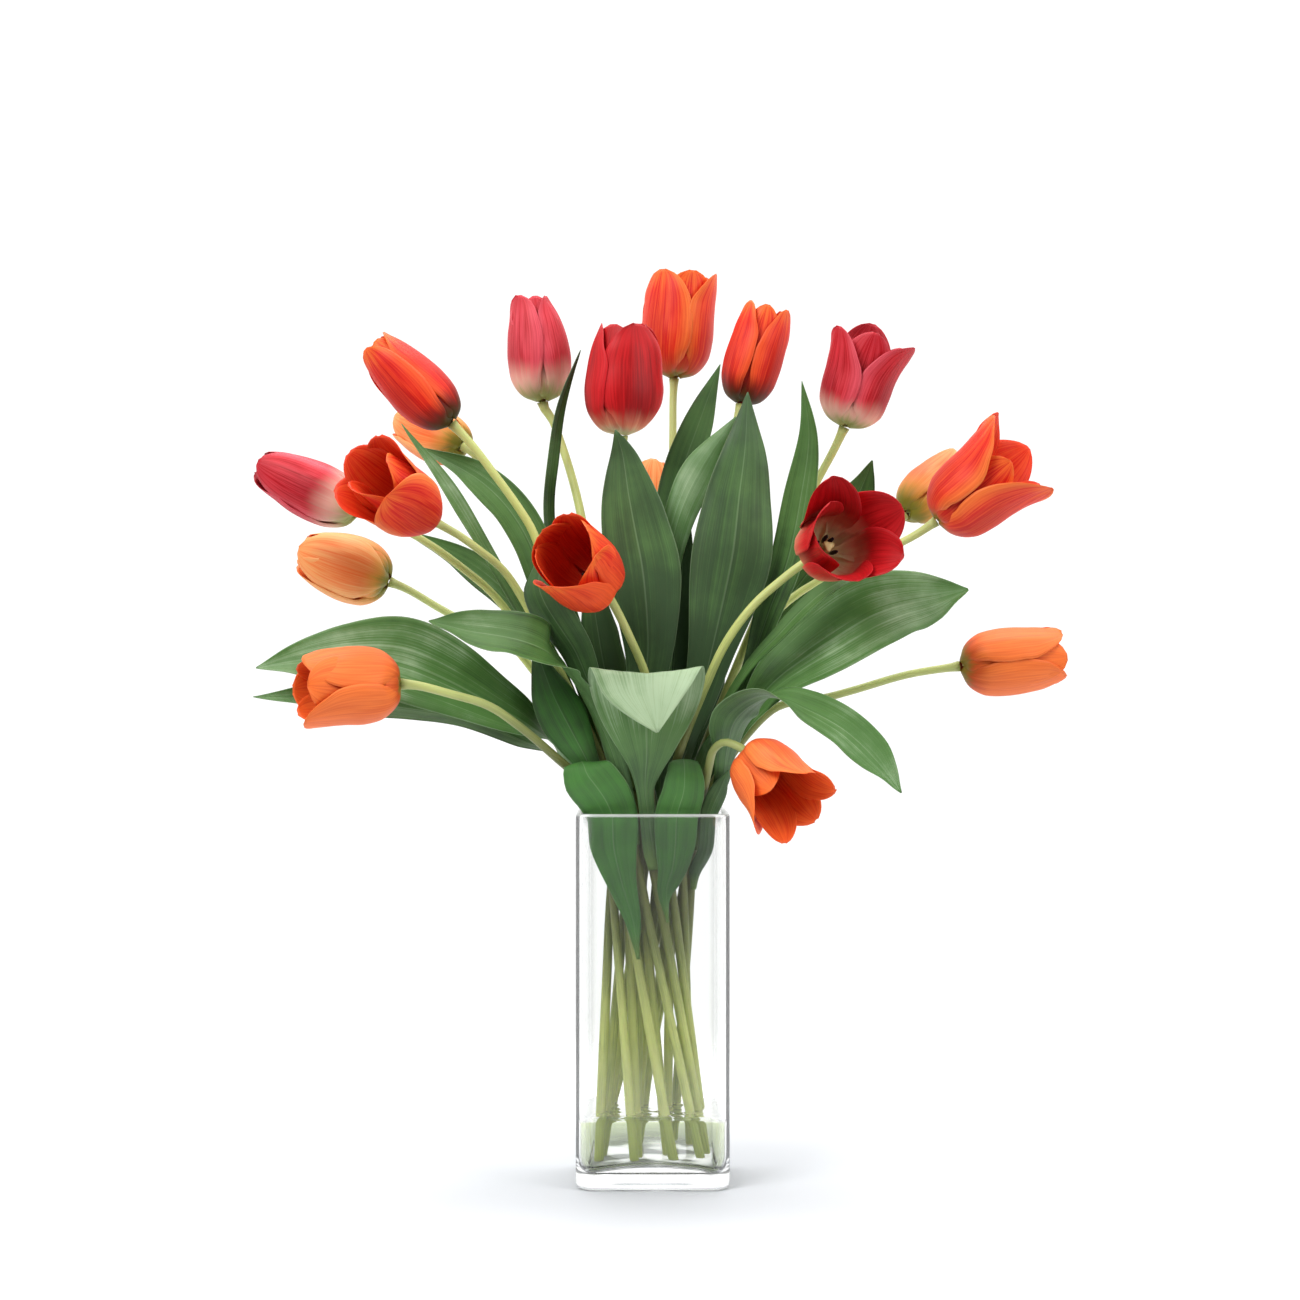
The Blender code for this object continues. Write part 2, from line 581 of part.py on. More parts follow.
def leaf_stations(leaf, course):
    """Points, widths, curvatures and facings of a leaf, from its clasp round the stem to its tip."""
    radius = STEM_FOOT_RADIUS + STEM_SWELL + GAP + LEAF_THICKNESS / 2
    first = millimetres(leaf.midrib[0][:3])
    points, widths, curls, faces = [], [], [], []
    height = leaf.clasp * MM
    for step, spread in enumerate(CLASP_SPREADS):
        place_along = next(place for place in ladder(course, CLASP_SAMPLES)
                           if course.at(place).z >= height + step * CLASP_LENGTH)
        middle, along = course.at(place_along), course.along(place_along)
        outward = square_to(first - middle, along)
        points.append(middle + outward * radius * spread)
        widths.append(2 * CLASP_HALF_ANGLE * radius * spread)
        curls.append(1 / (radius * spread))
        faces.append(-outward)
    facing = leaf.faces if len(leaf.faces) > 2 else None
    for i, (x, y, z, width) in enumerate(leaf.midrib):
        points.append(millimetres((x, y, z)))
        widths.append(width * MM)
        curls.append(4 * leaf.channel / (max(width, 4) * MM))
        if facing:
            face = facing[i]
        else:
            share = i / (len(leaf.midrib) - 1)
            start, end = leaf.faces[0], leaf.faces[-1]
            face = [a + (b - a) * share for a, b in zip(start, end)]
        faces.append(Vector(face).normalized())
    return points, widths, curls, faces


def leaf_ring(middle, along, face, half_width, curl):
    """A section of the blade: left edge, upper side, right edge, then back along the under side."""
    face = square_to(face, along)
    across = along.cross(face)

    def point(share, side):
        angle = half_width * share * curl
        over = math.sin(angle) / curl
        rise = (1 - math.cos(angle)) / curl
        out = face * math.cos(angle) - across * math.sin(angle)
        thick = LEAF_THICKNESS / 2 * (1 - EDGE_THINNING * abs(share))
        return middle + across * over + face * rise + out * side * thick

    ring = [point(-1, 0), point(-0.5, 1), point(0, 1), point(0.5, 1)]
    return ring + [point(1, 0), point(0.5, -1), point(0, -1), point(-0.5, -1)]


def build_leaf(number, leaf, course, parent):
    points, widths, curls, faces = leaf_stations(leaf, course)
    blade = Course(points)
    places = [0.0]
    for before, after in zip(blade.knots, blade.knots[1:]):
        steps = max(1, math.ceil((after - before) / LEAF_STEP))
        places += [before + (after - before) * (i + 1) / steps for i in range(steps)]
    places[-1] = blade.length - (blade.length - places[-2]) * TIP_SHARE
    rings = []
    for spot in places:
        half_width = max(blade.follow(widths, spot) / 2, NARROWEST_HALF)
        curl = max(blade.follow(curls, spot), FLATTEST_CURL)
        face = blade.follow(faces, spot)
        rings.append(leaf_ring(blade.at(spot), blade.along(spot), face, half_width, curl))
    root = blade.at(0) - blade.along(0) * DIMPLE
    name = f"leaf_{number:02d}"
    mesh = skin(name, rings, root, points[-1], two_sided=True)
    return place(name, mesh, finish(name, "leaf", 0.55, tint=0.8 + 0.1 * (number % 4)), parent)


# ---------------------------------------------------------------------------------------------


def main():
    for old in list(bpy.data.objects):
        bpy.data.objects.remove(old)
    arrangement = bpy.data.objects.new("arrangement", None)
    bpy.context.scene.collection.objects.link(arrangement)
    courses = [stem_course(tulip) for tulip in TULIPS]
    build_vase(arrangement)
    build_water(arrangement, courses)
    for number, (tulip, course) in enumerate(zip(TULIPS, courses), 1):
        build_stem(number, course, arrangement)
        build_bloom(number, tulip, arrangement)
    for number, leaf in enumerate(LEAVES, 1):
        build_leaf(number, leaf, courses[leaf.tulip - 1], arrangement)


main()
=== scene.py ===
"""Tulips in a square glass vase: the finished look of the arrangement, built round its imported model.

Every stem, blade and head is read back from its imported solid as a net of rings, and drawn again over
that net as a fine surface: petals with ruffled rims, blades with a midrib and veins, stems with a
cut foot. The vase and its water are drawn from the boxes of their solids.

Lengths are metres, +Z is up and -Y is the front. The origin is the middle of the vase's underside.
"""

import math
from collections import namedtuple

import bmesh
import bpy
import numpy as np
from bpy.props import FloatProperty, FloatVectorProperty, PointerProperty
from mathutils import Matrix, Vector, noise


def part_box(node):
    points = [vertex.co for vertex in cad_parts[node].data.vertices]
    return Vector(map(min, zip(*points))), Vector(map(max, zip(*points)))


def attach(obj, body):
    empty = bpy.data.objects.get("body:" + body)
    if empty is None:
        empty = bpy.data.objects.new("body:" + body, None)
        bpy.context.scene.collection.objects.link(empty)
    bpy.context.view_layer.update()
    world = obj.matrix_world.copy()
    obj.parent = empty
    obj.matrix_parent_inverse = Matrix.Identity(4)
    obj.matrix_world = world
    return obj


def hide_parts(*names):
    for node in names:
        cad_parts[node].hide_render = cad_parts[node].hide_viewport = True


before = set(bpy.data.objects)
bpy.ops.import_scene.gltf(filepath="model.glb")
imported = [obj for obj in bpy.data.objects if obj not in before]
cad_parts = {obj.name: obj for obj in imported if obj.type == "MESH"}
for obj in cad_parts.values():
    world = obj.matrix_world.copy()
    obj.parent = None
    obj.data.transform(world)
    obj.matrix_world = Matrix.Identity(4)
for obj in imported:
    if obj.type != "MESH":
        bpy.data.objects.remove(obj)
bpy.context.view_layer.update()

bl_info = {
    "name": "Tulips in a vase",
    "version": (1, 0, 0),
    "blender": (4, 5, 0),
    "location": "3D View > Sidebar > Tulips",
    "description": "Builds a square glass vase of water with eighteen cut tulips in it",
    "category": "Add Mesh",
}

MM = 0.001
BODY = "root"
STEMS = range(1, 19)  # each of them carries the head of the same number
LEAVES = range(1, 23)

vase_low, vase_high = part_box("vase")
water_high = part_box("water")[1]


def screen(red, green, blue):
    """A colour as it shows on a screen, 0 to 255, as the linear values that a shader takes."""
    channels = (value / 255 for value in (red, green, blue))
    return tuple(c / 12.92 if c <= 0.04045 else ((c + 0.055) / 1.055) ** 2.4 for c in channels)


# ---- Settings ----


def measure(name, description, default, **more):
    return FloatProperty(name=name, description=description, default=default, min=0.0, **more)


def length(name, description, default):
    return measure(name, description, default, subtype="DISTANCE", unit="LENGTH")


def share(name, description, default):
    return measure(name, description, default, max=1.0, subtype="FACTOR")


def colour(name, description, default):
    return FloatVectorProperty(name=name, description=description, default=default, size=3,
                               min=0.0, max=1.0, subtype="COLOR")


class VaseSettings(bpy.types.PropertyGroup):
    """Sizes of the glass vase and its water."""

    width: length("Width", "Outside width of the square vase", vase_high.x - vase_low.x)
    height: length("Height", "Height of the rim above the table", vase_high.z)
    wall: length("Wall", "Thickness of the glass wall", 4.5 * MM)
    base: length("Base", "Thickness of the glass in the middle of the base", 15 * MM)
    corner: length("Corner", "Radius of the upright corners", 13 * MM)
    level: length("Water level", "Height of the water above the table", water_high.z)
    tint: colour("Glass tint", "Colour that thick glass takes", (0.72, 0.76, 0.76))
    water: colour("Water tint", "Colour that deep water takes", (0.78, 0.84, 0.50))


class StemSettings(bpy.types.PropertyGroup):
    """Colours of the cut stems."""

    pale: colour("Pale", "Colour of the lower stem", screen(208, 216, 128))
    # The deep and shaded colours also paint shade: the stems' shade value lays them on, darkening the
    # stems in the middle of the bunch.
    deep: colour("Deep", "Colour of the stem in the streaks and near the blades", screen(128, 146, 82))
    shaded: colour("Shaded", "Colour of the stem in the middle of the bunch", screen(96, 98, 44))
    neck: colour("Neck", "Colour of the stem under the head", screen(178, 186, 116))


class BladeSettings(bpy.types.PropertyGroup):
    """Thickness and colours of the leaf blades."""

    thickness: length("Thickness", "Thickness of a blade in its middle", 0.7 * MM)
    # Each blade's tone lays on the dark and pale colours. That tone holds painted shade and painted
    # light as well as the blade's own green.
    dark: colour("Dark green", "Colour of the darkest blades", screen(30, 54, 22))
    green: colour("Green", "Colour of the middling blades", screen(80, 120, 58))
    pale: colour("Pale green", "Colour of the palest blades", screen(184, 208, 170))
    bright: colour("Bright green", "Colour of the young blades near the rim", screen(58, 126, 36))
    under: colour("Under side", "Colour of the waxy bloom on the under side", screen(126, 164, 116))
    wave: share("Wave", "How much the edges wave", 0.5)


# The colours of each kind of tulip, part by part, from 0 to 255.
PETAL_PARTS = ("base", "band", "body", "flame", "rim", "tip", "lining")
PETAL_COLOURS = {
    "orange": ((132, 112, 34), (206, 78, 30), (238, 32, 24), (196, 12, 18), (255, 132, 60),
               (255, 124, 44), (236, 46, 14)),
    "flame": ((70, 62, 24), (120, 28, 18), (238, 28, 22), (182, 8, 16), (255, 98, 44),
              (255, 136, 46), (208, 18, 10)),
    "peach": ((134, 132, 44), (222, 158, 70), (255, 146, 72), (246, 96, 38), (255, 192, 120),
              (255, 166, 96), (240, 104, 44)),
    "red": ((248, 238, 186), (240, 150, 120), (200, 6, 12), (132, 0, 6), (226, 34, 42),
            (164, 4, 12), (172, 4, 12)),
    "crimson": ((160, 168, 96), (246, 198, 178), (210, 18, 34), (150, 2, 16), (240, 92, 106),
                (184, 12, 30), (160, 6, 20)),
}


class PetalSettings(bpy.types.PropertyGroup):
    """Thickness of the petals, and the colours of each kind of tulip."""

    thickness: length("Thickness", "Thickness of a petal in its middle", 0.7 * MM)
    ruffle: share("Ruffle", "How much the upper rim of a petal ruffles", 0.5)


for kind, shades in PETAL_COLOURS.items():
    for part, shade in zip(PETAL_PARTS, shades):
        label = f"{kind} {part}".capitalize()
        PetalSettings.__annotations__[f"{kind}_{part}"] = colour(
            label, f"Colour of the petal's {part} on the {kind} tulips", screen(*shade))


class HeartSettings(bpy.types.PropertyGroup):
    """Sizes and colours of the stamens and pistils."""

    reach: length("Reach", "Length of a stamen", 21 * MM)
    anther: colour("Anther", "Colour of the anthers", screen(34, 24, 30))
    pistil: colour("Pistil", "Colour of the pistil", screen(196, 204, 128))


class StageSettings(bpy.types.PropertyGroup):
    """The floor and the light round the arrangement."""

    # Painted shadow: the floor has this darker colour round the vase and pales away from it.
    floor: colour("Floor", "Colour of the floor round the vase", (0.56, 0.58, 0.605))
    sky: measure("Surround", "Brightness of the pale surround behind the vase", 1.12)
    front: share("Front", "Brightness of the surround at the front, as a share of that behind", 0.14)
    zenith: measure("Zenith", "Brightness of the surround overhead", 1.38)
    key: measure("Key light", "Power of the large soft light at the front", 47.0,
                 subtype="POWER", unit="POWER")


# ---- Courses and nets ----


class Course:
    """A smooth course through points, read at shares of its length. Other values can follow it."""

    def __init__(self, points):
        self.points = np.asarray(points, float)
        steps = np.linalg.norm(np.diff(self.points, axis=0), axis=1)
        self.length = steps.sum()
        self.knots = np.concatenate([[0.0], np.cumsum(steps)]) / self.length

    def read(self, shares, values=None):
        values = self.points if values is None else np.asarray(values, float)
        slopes = np.gradient(values, self.knots, axis=0)
        i = np.clip(np.searchsorted(self.knots, shares, "right") - 1, 0, len(self.knots) - 2)
        span = self.knots[i + 1] - self.knots[i]
        u = (shares - self.knots[i]) / span
        if values.ndim > 1:
            extra = (1,) * (values.ndim - 1)
            u, span = u.reshape(-1, *extra), span.reshape(-1, *extra)
        return (values[i] * (1 + 2 * u) * (1 - u) ** 2 + slopes[i] * span * u * (1 - u) ** 2
                + values[i + 1] * u * u * (3 - 2 * u) - slopes[i + 1] * span * u * u * (1 - u))


def unit(vectors):
    """Vectors in the last axis, scaled to length 1."""
    return vectors / np.maximum(np.linalg.norm(vectors, axis=-1, keepdims=True), 1e-12)


def fade(values, low, high):
    """0 below low, 1 above high and a smooth rise between."""
    t = np.clip((values - low) / (high - low), 0, 1)
    return t * t * (3 - 2 * t)


def circle(angles):
    """Points at angles round a circle of radius 1."""
    return np.stack([np.cos(angles), np.sin(angles)], axis=-1)


def ripple(key, values, scale=1.0):
    """Smooth noise from -1 to 1 along one value. The key picks which."""
    flat = np.ravel(values) * scale
    made = [noise.noise(Vector((float(x), key * 7.31, key * 1.73))) for x in flat]
    return np.reshape(made, np.shape(values)) * 1.6


def layers_from(cap):
    """The vertices of a net, in layers by how many edges they are from one vertex."""
    layers, seen = [[cap]], {cap}
    while layers[-1]:
        found = []
        for vertex in layers[-1]:
            for edge in vertex.link_edges:
                other = edge.other_vert(vertex)
                if other not in seen:
                    seen.add(other)
                    found.append(other)
        layers.append(found)
    return layers[:-1]


def walk(layer):
    """The vertices of a ring in order round it."""
    members = set(layer)
    ring = [layer[0]]
    while len(ring) < len(layer):
        near = [edge.other_vert(ring[-1]) for edge in ring[-1].link_edges]
        fresh = [v for v in near if v in members and v not in ring]
        ring.append(min(fresh, key=lambda v: (v.co - ring[-1].co).length))
    return np.array([vertex.co for vertex in ring], float)


RING_POINTS = {"stem": 8, "leaf": 8, "bloom": 12}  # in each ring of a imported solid


def net_of(kind, number):
    """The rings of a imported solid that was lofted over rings, in order, and the point past the last.

    The first ring is the lower end of a stem or leaf, and the narrower end of a bloom.
    """
    around = RING_POINTS[kind]
    mesh = bmesh.new()
    mesh.from_mesh(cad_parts[f"{kind}_{number:02d}"].data)
    bmesh.ops.remove_doubles(mesh, verts=mesh.verts, dist=0.01 * MM)
    mesh.verts.ensure_lookup_table()
    caps = []
    for vertex in mesh.verts:
        if len(vertex.link_edges) != around:
            continue
        layers = layers_from(vertex)
        if len(layers[-1]) == 1 and all(len(layer) == around for layer in layers[1:-1]):
            reach = max((edge.other_vert(vertex).co - vertex.co).length for edge in vertex.link_edges)
            caps.append((reach if kind == "bloom" else vertex.co.z, vertex.index, layers))
    if not caps:
        raise RuntimeError(f"the solid of {kind} {number} isn't a loft over rings of {around} points")
    layers = min(caps)[2]
    rings = [walk(layers[1])]
    for layer in layers[2:-1]:
        ring = walk(layer)
        turns = [np.roll(way, step, axis=0) for way in (ring, ring[::-1]) for step in range(around)]
        rings.append(min(turns, key=lambda turned: np.linalg.norm(turned - rings[-1], axis=1).sum()))
    end = np.array(layers[-1][0].co, float)
    mesh.free()
    return np.array(rings), end


# ---- Meshes ----


def grid_faces(rows, columns, start=0, closed=False, flip=False):
    """Four-sided faces over a grid of points that is stored row by row."""
    across = columns if closed else columns - 1
    r, c = np.meshgrid(np.arange(rows - 1), np.arange(across), indexing="ij")
    a = start + r * columns + c
    b = start + r * columns + (c + 1) % columns
    faces = np.stack([a, b, b + columns, a + columns], axis=-1).reshape(-1, 4)
    return (faces[:, ::-1] if flip else faces).tolist()


def tube_faces(rows, sides, start=0):
    """Faces round a tube of points that is stored ring by ring, with one across each end."""
    last = start + (rows - 1) * sides
    return [*grid_faces(rows, sides, start, closed=True),
            list(range(start, start + sides))[::-1], list(range(last, last + sides))]


def facing_of(middle):
    """The direction that each point of a sheet faces. Middle is (rows, columns, 3)."""
    return unit(np.cross(np.gradient(middle, axis=1), np.gradient(middle, axis=0)))


def spokes(sides, others, angles):
    """Directions round a course at each of its points, from two that are square to it there."""
    return sides[:, None] * np.cos(angles)[:, None] + others[:, None] * np.sin(angles)[:, None]


def made_mesh(name, points, faces, maps=None, values=None):
    """An object of smooth faces, with a UV map from a value pair for each point, and point values."""
    mesh = bpy.data.meshes.new(name)
    mesh.from_pydata(points.tolist(), [], faces)
    mesh.validate()
    if maps is not None:
        layer = mesh.uv_layers.new(name="Sheet")
        corners = np.empty(len(mesh.loops), np.int32)
        mesh.loops.foreach_get("vertex_index", corners)
        layer.data.foreach_set("uv", np.asarray(maps, np.float32)[corners].ravel())
    for key, numbers in (values or {}).items():
        attribute = mesh.attributes.new(key, "FLOAT", "POINT")
        attribute.data.foreach_set("value", np.asarray(numbers, np.float32))
    mesh.shade_smooth()
    piece = bpy.data.objects.new(name, mesh)
    bpy.context.scene.collection.objects.link(piece)
    return piece


class Gathered:
    """Parts gathered into one mesh, each with its map and its point values."""

    def __init__(self):
        self.points, self.faces, self.maps, self.values = [], [], [], {}
        self.count = 0

    def take(self, points, faces, maps, **values):
        self.points.append(points)
        self.faces += faces
        self.maps.append(maps)
        for key, numbers in values.items():
            self.values.setdefault(key, []).append(np.broadcast_to(numbers, len(points)))
        self.count += len(points)

    def build(self, name):
        values = {key: np.concatenate(numbers) for key, numbers in self.values.items()}
        points, maps = np.concatenate(self.points), np.concatenate(self.maps)
        return made_mesh(name, points, self.faces, maps, values)


class Sheets(Gathered):
    """Thin closed sheets. Each is a grid of points with a thickness that fades at the edges."""

    def add(self, middle, u, v, thickness, tone, **evenly):
        """U goes from -1 to 1 across the sheet, and v from 0 to 1 along it. Tone may vary too."""
        rows, columns = middle.shape[:2]
        thin = np.minimum(fade(1 - np.abs(u), -0.03, 0.12), fade(1 - v, -0.03, 0.06))
        half = facing_of(middle) * (thickness / 2 * (0.25 + 0.75 * thin))[..., None]
        size, start = rows * columns, self.count
        index = np.arange(size).reshape(rows, columns)
        loop = np.concatenate([index[0, :], index[1:, -1], index[-1, -2::-1], index[-2:0:-1, 0]])
        following = np.roll(loop, -1)
        rim = np.stack([loop, loop + size, following + size, following], axis=-1) + start
        faces = grid_faces(rows, columns, start) + grid_faces(rows, columns, start + size, flip=True)
        self.take(np.stack([middle + half, middle - half]).reshape(-1, 3), faces + rim.tolist(),
                  np.tile(np.stack([(u + 1) / 2, v], axis=-1).reshape(-1, 2), (2, 1)),
                  back=np.repeat([0.0, 1.0], size),
                  tone=np.tile(np.broadcast_to(tone, (rows, columns)).ravel(), 2), **evenly)


def settle(piece, replaced, material):
    """Gives a piece its material, ties it to the body, and hides the solid it stands for, if any."""
    piece.data.materials.append(material)
    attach(piece, BODY)
    if replaced is not None:
        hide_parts(replaced)


# ---- Materials ----


def maths(operation, turned=False):
    """A method of Value that adds a Math node, with the two values turned round if it's reflected."""

    def work(self, other):
        first, second = (other, self) if turned else (self, other)
        return self.finish.node("Math", {"operation": operation}, {0: first, 1: second})

    return work


class Value:
    """An output of a shader node. Arithmetic on it adds Math nodes."""

    def __init__(self, finish, socket):
        self.finish = finish
        self.socket = socket

    __add__, __radd__ = maths("ADD"), maths("ADD", turned=True)
    __sub__, __rsub__ = maths("SUBTRACT"), maths("SUBTRACT", turned=True)
    __mul__, __rmul__ = maths("MULTIPLY"), maths("MULTIPLY", turned=True)

    def __abs__(self):
        return self.finish.node("Math", {"operation": "ABSOLUTE"}, {0: self})


class Finish:
    """A material with its nodes, or the world with its own."""

    def __init__(self, name, kind="Material"):
        self.kind = kind
        self.owner = (bpy.data.worlds if kind == "World" else bpy.data.materials).new(name)
        self.owner.use_nodes = True
        self.tree = self.owner.node_tree
        self.tree.nodes.clear()

    def node(self, kind, settings=None, sockets=None, output=0):
        """Adds a node of a kind. The settings are set first, then each socket's value or link."""
        node = self.tree.nodes.new("ShaderNode" + kind)
        for key, value in (settings or {}).items():
            setattr(node, key, value)
        for key, value in (sockets or {}).items():
            if isinstance(value, Value):
                self.tree.links.new(value.socket, node.inputs[key])
            else:
                node.inputs[key].default_value = value
        return Value(self, node.outputs[output])

    def place(self):
        """The place in the piece's own space."""
        return self.node("TexCoord", output="Object")

    def split(self, vector):
        """The three values of a vector."""
        node = self.node("SeparateXYZ", None, {0: vector}).socket.node
        return [Value(self, socket) for socket in node.outputs]

    def sheet_map(self):
        """The piece's own map, and its two values: across and along."""
        place = self.node("UVMap", {"uv_map": "Sheet"})
        return place, *self.split(place)[:2]

    def attribute(self, name):
        return self.node("Attribute", {"attribute_name": name}, output="Fac")

    def fade(self, value, low, high, start=0.0, end=1.0):
        """The start while value is below low, the end above high and a smooth change between."""
        return self.node("MapRange", {"interpolation_type": "SMOOTHSTEP"}, {
            "Value": value, "From Min": low, "From Max": high, "To Min": start, "To Max": end})

    def mix(self, factor, first, second):
        """A mix of two colours."""
        return self.node("Mix", {"data_type": "RGBA"},
                         {0: factor, 6: opaque(first), 7: opaque(second)}, output=2)

    def over(self, skin, *coats):
        """A colour with others laid over it in turn, each by an amount from 0 to 1."""
        for amount, shade in coats:
            skin = self.mix(amount, skin, shade)
        return skin

    def grain(self, place, stretch, detail=3.0, rough=0.55):
        """Noise over a place that is stretched by a factor, or by one on each axis."""
        spot = self.node("VectorMath", {"operation": "MULTIPLY"},
                         {0: place, 1: np.broadcast_to(stretch, 3).tolist()})
        return self.node("TexNoise", None, {"Vector": spot, "Scale": 1.0, "Detail": detail,
                                            "Roughness": rough})

    def bump(self, height, strength, distance):
        return self.node("Bump", None, {"Height": height, "Strength": strength, "Distance": distance})

    def principled(self, sockets):
        return self.node("BsdfPrincipled", None, sockets)

    def done(self, surface, volume=None):
        out = self.tree.nodes.new("ShaderNodeOutput" + self.kind)
        self.tree.links.new(surface.socket, out.inputs["Surface"])
        if volume is not None:
            self.tree.links.new(volume.socket, out.inputs["Volume"])
        return self.owner


def opaque(value):
    """A colour of three channels as one of four. Anything else stays as it is."""
    return value if isinstance(value, Value) else (*value[:3], 1.0)


def lit_through(finish, surface, shade, amount):
    """Lets some light through a thin sheet, in one shade."""
    glow = finish.node("BsdfTranslucent", None, {"Color": opaque(shade)})
    return finish.node("MixShader", None, {0: amount, 1: surface, 2: glow})


# ---- Vase and water ----

FOOT_FILLET = 5 * MM
FLOOR_FILLET = 7 * MM
FLOOR_DIP = 7 * MM
FOOT_DISH = 3 * MM  # how far the middle of the underside is above the table
LEAST_CORNER = 1.5 * MM
QUARTER_TURN = np.linspace(0, math.pi / 2, 8)
GLASS_IOR, WATER_IOR = 1.5, 1.333
WATER_BITE = 0.25 * MM  # the water reaches this far into the glass, so that no air shows between

# How high the water climbs at the glass and at a stem, and how far from it that fades away.
GLASS_CLIMB, GLASS_REACH = 2.2 * MM, 1.6 * MM
STEM_CLIMB, STEM_REACH = 1.1 * MM, 1.3 * MM


def square_ring(half, corner, turns=12, straight=10):
    """Points round a square with round corners, as (n, 2)."""
    edge = half - corner
    points = []
    for start in np.arange(4) * math.pi / 2:
        middle = circle(start + math.pi / 4) * math.sqrt(2) * edge
        arc = middle + corner * circle(start + np.linspace(0, math.pi / 2, turns + 1))
        run = circle(start + math.pi) * 2 * edge
        points += [arc, arc[-1] + run * (np.arange(1, straight)[:, None] / straight)]
    return np.concatenate(points)


def glass_floor(settings, points):
    """Height of the inner floor, which is level in the middle and dips into the corners."""
    half = settings.width / 2 - settings.wall
    waves = 0.45 * MM * (ripple(6, points[:, 0], 70) + ripple(7, points[:, 1], 80))
    return settings.base + waves - FLOOR_DIP * (np.abs(points[:, 0] * points[:, 1]) / half**2) ** 2


def risen(points, height):
    return np.concatenate([points, np.broadcast_to(height, len(points))[:, None]], axis=1)


def inner_rings(settings, inset, levels):
    """Rings down the inside of the vase from the given levels, round the fillet and over the floor."""
    half = settings.width / 2 - settings.wall - inset
    corner = settings.corner - settings.wall - inset
    rings = [risen(square_ring(half, corner), level) for level in levels]
    for angle in QUARTER_TURN[1:]:
        inward = FLOOR_FILLET * (1 - math.cos(angle))
        points = square_ring(half - inward, max(corner - inward, LEAST_CORNER))
        dip = (glass_floor(settings, points) - settings.base) * math.sin(angle)
        rings.append(risen(points, settings.base + inset + FLOOR_FILLET * (1 - math.sin(angle)) + dip))
    for part in np.linspace(0.9, 0.05, 12):
        points = square_ring((half - FLOOR_FILLET) * part, LEAST_CORNER * part)
        rings.append(risen(points, glass_floor(settings, points) + inset))
    return rings


def ring_skin(name, rings):
    """A closed object over rings of points, with a face across each end."""
    around = len(rings[0])
    points = np.concatenate(rings)
    maps = np.stack([np.tile(np.arange(around) / around, len(rings)), points[:, 2]], axis=-1)
    return made_mesh(name, points, tube_faces(len(rings), around), maps)


def glass_finish(settings):
    finish = Finish("clear_glass")
    place = finish.place()
    drift = finish.grain(place, (9.0, 9.0, 5.0), detail=1.0)
    smear = finish.grain(place, (60.0, 60.0, 24.0), detail=4.0)
    surface = finish.principled({
        "Base Color": (0.985, 0.995, 0.99, 1.0), "IOR": GLASS_IOR, "Transmission Weight": 1.0,
        "Specular IOR Level": 0.15,
        "Roughness": 0.004 + 0.02 * finish.fade(smear, 0.52, 0.8),
        "Normal": finish.bump(drift, 0.12, 0.6 * MM)})
    depth = finish.node("VolumeAbsorption", None, {"Color": opaque(settings.tint), "Density": 0.5})
    east, north, height = finish.split(place)
    half, corner = settings.width / 2, settings.corner
    beside, before = (finish.fade(abs(way), half - corner, half) for way in (east, north))
    rim = finish.fade(height, settings.height - 2.6 * MM, settings.height - 0.6 * MM)
    # Painted highlight: a white diffuse is mixed into the clear glass along the rim and down the
    # upright corners, as bright lines of light on its edges.
    glint_white = finish.node("BsdfDiffuse", None, {"Color": (0.93, 0.95, 0.95, 1.0)})
    painted_glint = 0.5 * rim + 0.38 * beside * before * (1 - rim)
    return finish.done(finish.node("MixShader", None, {0: painted_glint, 1: surface, 2: glint_white}), depth)


def water_finish(settings):
    finish = Finish("clear_water")
    drift = finish.grain(finish.place(), 26.0, detail=2.0)
    surface = finish.principled({
        "Base Color": (0.99, 1.0, 0.985, 1.0), "IOR": WATER_IOR, "Transmission Weight": 1.0,
        "Roughness": 0.002 + 0.006 * drift, "Normal": finish.bump(drift, 0.3, 0.5 * MM)})
    depth = finish.node("VolumeAbsorption", None, {"Color": opaque(settings.water), "Density": 1.5})
    return finish.done(surface, depth)


class TULIPS_OT_vase(bpy.types.Operator):
    """Build the clear glass vase with its heavy base"""

    bl_idname = "tulips.vase"
    bl_label = "Vase"

    def execute(self, context):
        settings = context.scene.tulip_vase
        half, corner, lip = settings.width / 2, settings.corner, settings.wall / 2
        shoulder = settings.height - lip
        rings = []
        for part in (0.05, 0.3, 0.55, 0.75, 0.88):
            points = square_ring((half - FOOT_FILLET) * part, (corner - FOOT_FILLET) * part)
            rings.append(risen(points, FOOT_DISH * (1 - part**4)))
        outline = [(FOOT_FILLET * (1 - math.sin(angle)), FOOT_FILLET * (1 - math.cos(angle)))
                   for angle in QUARTER_TURN]
        outline += [(0, level) for level in np.linspace(FOOT_FILLET, shoulder, 26)[1:-1]]
        outline += [(lip * (1 - math.cos(angle)), shoulder + lip * math.sin(angle))
                    for angle in np.linspace(0, math.pi, 13)]
        rings += [risen(square_ring(half - inward, corner - inward), level)
                  for inward, level in outline]
        rings += inner_rings(settings, 0.0, np.linspace(shoulder, settings.base + FLOOR_FILLET, 24)[1:])
        settle(ring_skin("glass_vase", rings), "vase", glass_finish(settings))
        return {"FINISHED"}


